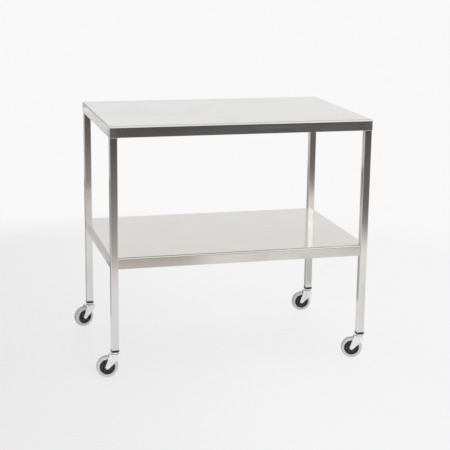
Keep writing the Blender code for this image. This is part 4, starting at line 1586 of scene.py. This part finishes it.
def combined(base, tool, operation):
    """What two closed meshes make together, with points that lie on each other made one."""
    item = loose_object(base)
    cutter = loose_object(tool)
    modifier = item.modifiers.new("combine", 'BOOLEAN')
    modifier.operation = operation
    modifier.solver = 'EXACT'
    modifier.object = cutter
    mesh = worked_out(item)
    bpy.data.objects.remove(cutter)
    bm = bmesh.new()
    bm.from_mesh(mesh)
    bmesh.ops.dissolve_degenerate(bm, dist=MERGE_DISTANCE, edges=bm.edges)
    bmesh.ops.remove_doubles(bm, verts=bm.verts, dist=MERGE_DISTANCE)
    bm.to_mesh(mesh)
    bm.free()
    return mesh


def rib_mesh(side):
    """A long low swelling down the outside of one fork leg."""
    start = Vector((RIB_START[0], side * FORK_HALF, CROWN_TOP + RIB_START[1]))
    end = Vector((RIB_END[0] - TRAIL, side * FORK_HALF, AXLE_Z + RIB_END[1]))
    lie = Matrix.Translation((start + end) / 2) @ (end - start).to_track_quat('Z', 'Y').to_matrix().to_4x4()
    size = Matrix.Diagonal((RIB_WIDTH, RIB_HEIGHT, (end - start).length / 2, 1.0))
    bm = bmesh.new()
    bmesh.ops.create_uvsphere(bm, u_segments=20, v_segments=14, radius=1.0, matrix=lie @ size)
    return plain_mesh("fork_rib", bm)


def eased_edges(mesh):
    item = loose_object(mesh)
    easing = item.modifiers.new("eased_edges", 'BEVEL')
    easing.width = FORK_EASE
    easing.segments = 2
    easing.limit_method = 'ANGLE'
    easing.angle_limit = EASE_FROM
    return worked_out(item)


def fork_mesh():
    margin = FORK_EYE_RADIUS
    crown_place = Matrix.Translation((0.0, 0.0, CROWN_TOP))
    eye_place = Matrix.Translation((-TRAIL, 0.0, AXLE_Z)) @ on_axle
    channel = prism("fork", fork_end_view(), -TRAIL - 2 * margin, FORK_FRONT + margin, "X")
    trim = prism("fork_trim", fork_side_view(), -FORK_HALF - margin, FORK_HALF + margin, "Y")
    fork = combined(channel, trim, 'INTERSECT')
    fork = combined(fork, drill("stem_drill", STEM_NECK + SEAT_GAP, margin, crown_place), 'DIFFERENCE')
    fork = combined(fork, drill("axle_drill", AXLE_HOLE, FORK_HALF + margin, eye_place), 'DIFFERENCE')
    fork = eased_edges(fork)
    for side in (-1, 1):
        fork = combined(fork, rib_mesh(side), 'UNION')
    return shaded(fork)


fork = fork_mesh()
make_set("pressed_fork", "fork", fork, bright_zinc, "swivel", caster_place)
print("fork:", len(fork.polygons), "faces")

# %% [markdown]
# ## Casters: the axle
# A bolt with a low domed head clamps the fork's sides on a steel spacer, and the wheel's bush runs on
# that spacer. They are turned pieces again, made about Z and then laid along the axle.

# %% Axle bolt, spacer and bush
AXLE_RADIUS = 0.0040
HEAD_RADIUS = 0.0056
HEAD_THICKNESS = 0.0022
HEAD_WALL = 0.0007
HEAD_END = -89
BOLT_CHAMFER = 0.0006
NUT_THICKNESS = 0.0048
SPACER_RADIUS = 0.0056
BUSH_BORE = 0.0059
BUSH_RADIUS = 0.0072
BUSH_INSET = 0.0005
SLEEVE_EASE = 0.0003
HUB_HALF = 0.0129
fork_seat = FORK_HALF + SEAT_GAP


def bolt_mesh():
    end = fork_seat + NUT_THICKNESS + BOLT_CHAMFER
    foot = -fork_seat - HEAD_WALL
    rise = HEAD_THICKNESS - HEAD_WALL
    dome_radius = (HEAD_RADIUS ** 2 + rise ** 2) / (2 * rise)
    spread = math.degrees(math.asin(HEAD_RADIUS / dome_radius))
    dome = arc((0.0, foot - rise + dome_radius), dome_radius, spread - 90, HEAD_END, 10)
    shank = [(AXLE_RADIUS - BOLT_CHAMFER, end), (AXLE_RADIUS, end - BOLT_CHAMFER), (AXLE_RADIUS, -fork_seat)]
    return ring_mesh("axle_bolt", spun(shank + [(HEAD_RADIUS, -fork_seat)] + dome), False)


def sleeve_mesh(name, bore, radius, half):
    return turned(name, [(radius, half), (radius, -half), (bore, -half), (bore, half)], True, SLEEVE_EASE)


def wheel_place(corner):
    """From a wheel turned about Z to its axle on the table."""
    return caster_place(corner) @ Matrix.Translation((-TRAIL, 0.0, AXLE_Z)) @ on_axle


spacer = sleeve_mesh("axle_spacer", AXLE_HOLE, SPACER_RADIUS, HUB_HALF)
bush = sleeve_mesh("hub_bush", BUSH_BORE, BUSH_RADIUS, HUB_HALF - BUSH_INSET)
make_set("axle_bolt_domed", "axle_bolt", bolt_mesh(), bright_zinc, "swivel", wheel_place)
make_set("axle_spacer", "axle_sleeve", spacer, bearing_steel, "swivel", wheel_place)
make_set("hub_bush", "wheel_bush", bush, white_acetal, "wheel", wheel_place)
print("axle pieces on a bolt of radius", AXLE_RADIUS)

# %% [markdown]
# A hexagon nut holds the bolt. Its corners are turned off at a shallow angle, as on every real nut, which
# cuts the six bright curves on its face. A hexagon with plain bevels would miss them, so each ring is the
# smaller of the hexagon and the cone at that depth.

# %% Hexagon nut
NUT_FLATS = 0.0130
NUT_SIDES = 48
NUT_CHAMFER_SLOPE = 0.5
NUT_FACE_SHARE = 0.97
NUT_STEP = 0.00016
NUT_STEPS = 5
NUT_BORE_EASE = 0.0004


def nut_ring(z, depth):
    """A hexagon, cut back to a circle where the chamfer's cone is smaller."""
    cone = NUT_FLATS / 2 * NUT_FACE_SHARE + depth / NUT_CHAMFER_SLOPE
    ring = []
    for side in range(NUT_SIDES):
        angle = math.tau * (side + 0.5) / NUT_SIDES
        off_flat = angle % (math.pi / 3) - math.pi / 6
        reach = min(NUT_FLATS / 2 / math.cos(off_flat), cone)
        ring.append((reach * math.cos(angle), reach * math.sin(angle), z))
    return ring


def nut_mesh():
    near, far = fork_seat, fork_seat + NUT_THICKNESS
    bore = AXLE_RADIUS + SEAT_GAP
    mouth = bore + NUT_BORE_EASE
    depths = [step * NUT_STEP for step in range(NUT_STEPS)]
    rings = [nut_ring(far - depth, depth) for depth in depths]
    rings += [nut_ring(near + depth, depth) for depth in reversed(depths)]
    inside = [(mouth, near), (bore, near + NUT_BORE_EASE), (bore, far - NUT_BORE_EASE), (mouth, far)]
    return ring_mesh("axle_nut", rings + spun(inside, NUT_SIDES), True)


make_set("axle_hex_nut", "axle_nut", nut_mesh(), bright_zinc, "swivel", wheel_place)
print("nut", NUT_FLATS, "across flats")

# %% [markdown]
# ## Casters: the wheel centre
# The black wheel centre is one moulding: a boss for the bush, a thin web with a raised ring on it, a rim
# with a key that grips the tyre, and five spokes through them. The round part is a turned profile. The
# spokes repeat, so a tree sets them round the axle and joins them to the turned part as one solid.

# %% Moulded wheel centre
HUB_BORE = 0.0075
HUB_BOSS = 0.0110
HUB_RADIUS = 0.0266
HUB_RIM_WALL = 0.0040
HUB_RIM_HALF = 0.0105
HUB_WEB_HALF = 0.0020
HUB_RING_RADIUS = 0.0172
HUB_RING_WIDTH = 0.0018
HUB_RING_HALF = 0.0075
HUB_KEY_HEIGHT = 0.0018
HUB_KEY_HALF = 0.0035
HUB_EASE = 0.0005
HUB_SIDES = 72
SPOKE_COUNT = 5
SPOKE_WIDTH = 0.0030
SPOKE_HALF = 0.0085


def hub_base_mesh():
    rim_bore = HUB_RADIUS - HUB_RIM_WALL
    ring_in = HUB_RING_RADIUS - HUB_RING_WIDTH / 2
    ring_out = HUB_RING_RADIUS + HUB_RING_WIDTH / 2
    face = [
        (HUB_BORE, HUB_HALF), (HUB_BOSS, HUB_HALF), (HUB_BOSS, HUB_WEB_HALF),
        (ring_in, HUB_WEB_HALF), (ring_in, HUB_RING_HALF), (ring_out, HUB_RING_HALF),
        (ring_out, HUB_WEB_HALF), (rim_bore, HUB_WEB_HALF), (rim_bore, HUB_RIM_HALF),
        (HUB_RADIUS, HUB_RIM_HALF), (HUB_RADIUS, HUB_KEY_HALF), (HUB_RADIUS + HUB_KEY_HEIGHT, HUB_KEY_HALF),
    ]
    profile = eased(face + [(radius, -z) for radius, z in reversed(face)], HUB_EASE, steps=2)
    return plain_mesh("hub_base", chained(spun(profile, HUB_SIDES), True))


def spoked_tree():
    tree, given = geometry_tree("spoked_centre", Count=COUNT, Inner=SIZE, Outer=SIZE, Width=SIZE, Depth=SIZE)
    length = calc(tree, 'SUBTRACT', given["Outer"], given["Inner"])
    middle = calc(tree, 'MULTIPLY', calc(tree, 'ADD', given["Outer"], given["Inner"]), 0.5)
    step = calc(tree, 'DIVIDE', math.tau, given["Count"])
    angle = calc(tree, 'MULTIPLY', add_node(tree, 'GeometryNodeInputIndex').outputs[0], step)
    sides = {"X": length, "Y": given["Width"], "Z": given["Depth"]}
    vectors = (sides, {"X": middle}, {"Z": angle})
    size, shift, euler = [add_node(tree, 'ShaderNodeCombineXYZ', parts).outputs[0] for parts in vectors]
    bar = add_node(tree, 'GeometryNodeMeshCube', {"Size": size}).outputs[0]
    spoke = {"Geometry": bar, "Translation": shift}
    row = {
        "Points": add_node(tree, 'GeometryNodePoints', {"Count": given["Count"]}).outputs[0],
        "Instance": add_node(tree, 'GeometryNodeTransform', spoke).outputs[0],
        "Rotation": add_node(tree, 'FunctionNodeEulerToRotation', {0: euler}).outputs[0],
    }
    spokes = add_node(tree, 'GeometryNodeInstanceOnPoints', row).outputs[0]
    solid_spokes = add_node(tree, 'GeometryNodeRealizeInstances', {0: spokes}).outputs[0]
    union = add_node(tree, 'GeometryNodeMeshBoolean', operation='UNION', solver='EXACT')
    for part in (given["Geometry"], solid_spokes):
        tree.links.new(part, union.inputs["Mesh 2"])
    return close_tree(tree, given, union.outputs[0])


hub = shaded(grow(hub_base_mesh(), spoked_tree(), Count=SPOKE_COUNT, Inner=(HUB_BORE + HUB_BOSS) / 2,
                  Outer=HUB_RADIUS - HUB_RIM_WALL / 2, Width=SPOKE_WIDTH, Depth=2 * SPOKE_HALF,
                  Material=black_nylon))
make_set("wheel_centre", "hub", hub, black_nylon, "wheel", wheel_place)
print("wheel centre:", len(hub.polygons), "faces,", SPOKE_COUNT, "spokes")

# %% [markdown]
# ## Casters: the tyre
# A tyre follows one rule: a section swept round a circle. The section has a slightly crowned tread with a
# faint moulding line in its middle, round shoulders, a side wall that dips towards the rim, and a groove
# that the wheel centre's key sits in.

# %% Tyre section
TYRE_RADIUS = AXLE_Z
TYRE_HALF = 0.0120
TREAD_DROP = 0.0012
TREAD_SHARES = (0.75, 0.5, 0.25, 0.05)
SHOULDER_RADIUS = 0.0042
MOULD_LINE = 0.0002
LIP_RISE = 0.0012
LIP_SPREAD = 0.0006
WALL_STEP = 0.0003
WALL_STEP_RADIUS = 0.0306


def tyre_section():
    """The tyre's section as (distance from the axle, place along it), closed."""
    bore = HUB_RADIUS + SEAT_GAP
    lip = HUB_RIM_HALF + SEAT_GAP
    tread_edge = TYRE_RADIUS - TREAD_DROP
    crown_half = TYRE_HALF - SHOULDER_RADIUS
    wall = [(bore, lip), (bore + LIP_RISE, lip + LIP_SPREAD), (WALL_STEP_RADIUS, TYRE_HALF - 2 * WALL_STEP),
            (WALL_STEP_RADIUS + WALL_STEP, TYRE_HALF - WALL_STEP / 2)]
    shoulder = arc((tread_edge - SHOULDER_RADIUS, crown_half), SHOULDER_RADIUS, 90, 0, 8)
    crown = [(tread_edge + TREAD_DROP * (1 - share ** 2), share * crown_half) for share in TREAD_SHARES]
    half = wall + shoulder + crown
    line = [(TYRE_RADIUS + MOULD_LINE / 2, 0.0)]
    groove = bore + HUB_KEY_HEIGHT
    key = HUB_KEY_HALF + SEAT_GAP
    inside = [(bore, -key), (groove, -key), (groove, key), (bore, key)]
    return half + line + [(reach, -along) for reach, along in reversed(half)] + inside


print("tyre section of", len(tyre_section()), "points")

# %% [markdown]
# The tree sweeps the section, measured from the circle that it runs round, and notes each point's
# distance from the axle for the rubber's colour.

# %% Swept tyre
TYRE_STEPS = 96


def tyre_tree():
    tree, given = geometry_tree("swept_tyre", Circle=SIZE, Steps=COUNT)
    section = add_node(tree, 'GeometryNodeMeshToCurve', {0: given["Geometry"]}).outputs[0]
    band = swept(tree, given["Circle"], given["Steps"], section)
    spot = add_node(tree, 'GeometryNodeInputPosition').outputs[0]
    reach = length_of(tree, stretch(tree, spot, (1.0, 1.0, 0.0)))
    note = {"Geometry": band, "Name": "reach", "Value": reach}
    noted = add_node(tree, 'GeometryNodeStoreNamedAttribute', note, data_type='FLOAT', domain='POINT')
    return close_tree(tree, given, noted.outputs[0])


def outward(mesh):
    """The mesh with its faces turned outward."""
    bm = bmesh.new()
    bm.from_mesh(mesh)
    bmesh.ops.recalc_face_normals(bm, faces=bm.faces)
    bm.to_mesh(mesh)
    bm.free()
    return mesh


points = [(reach - HUB_RADIUS, along, 0.0) for reach, along in tyre_section()]
loop_edges = [(index, (index + 1) % len(points)) for index in range(len(points))]
tyre = shaded(outward(grow(edge_mesh("tyre_section", points, loop_edges), tyre_tree(), Circle=HUB_RADIUS,
                           Steps=TYRE_STEPS, Material=grey_rubber)))
make_set("tyre_band", "tyre", tyre, grey_rubber, "wheel", wheel_place)
print("tyre:", len(tyre.polygons), "faces, radius", TYRE_RADIUS)

# %% [markdown]
# ## Measure and finish
# Both boxes are printed, the frame's and the dressed table's, which should be the same size.

# %% Finish
visual_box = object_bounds()
for label, (low, high) in (("frame", cad_box), ("dressed", visual_box)):
    print(label, "box:", [round(side, 4) for side in high - low])
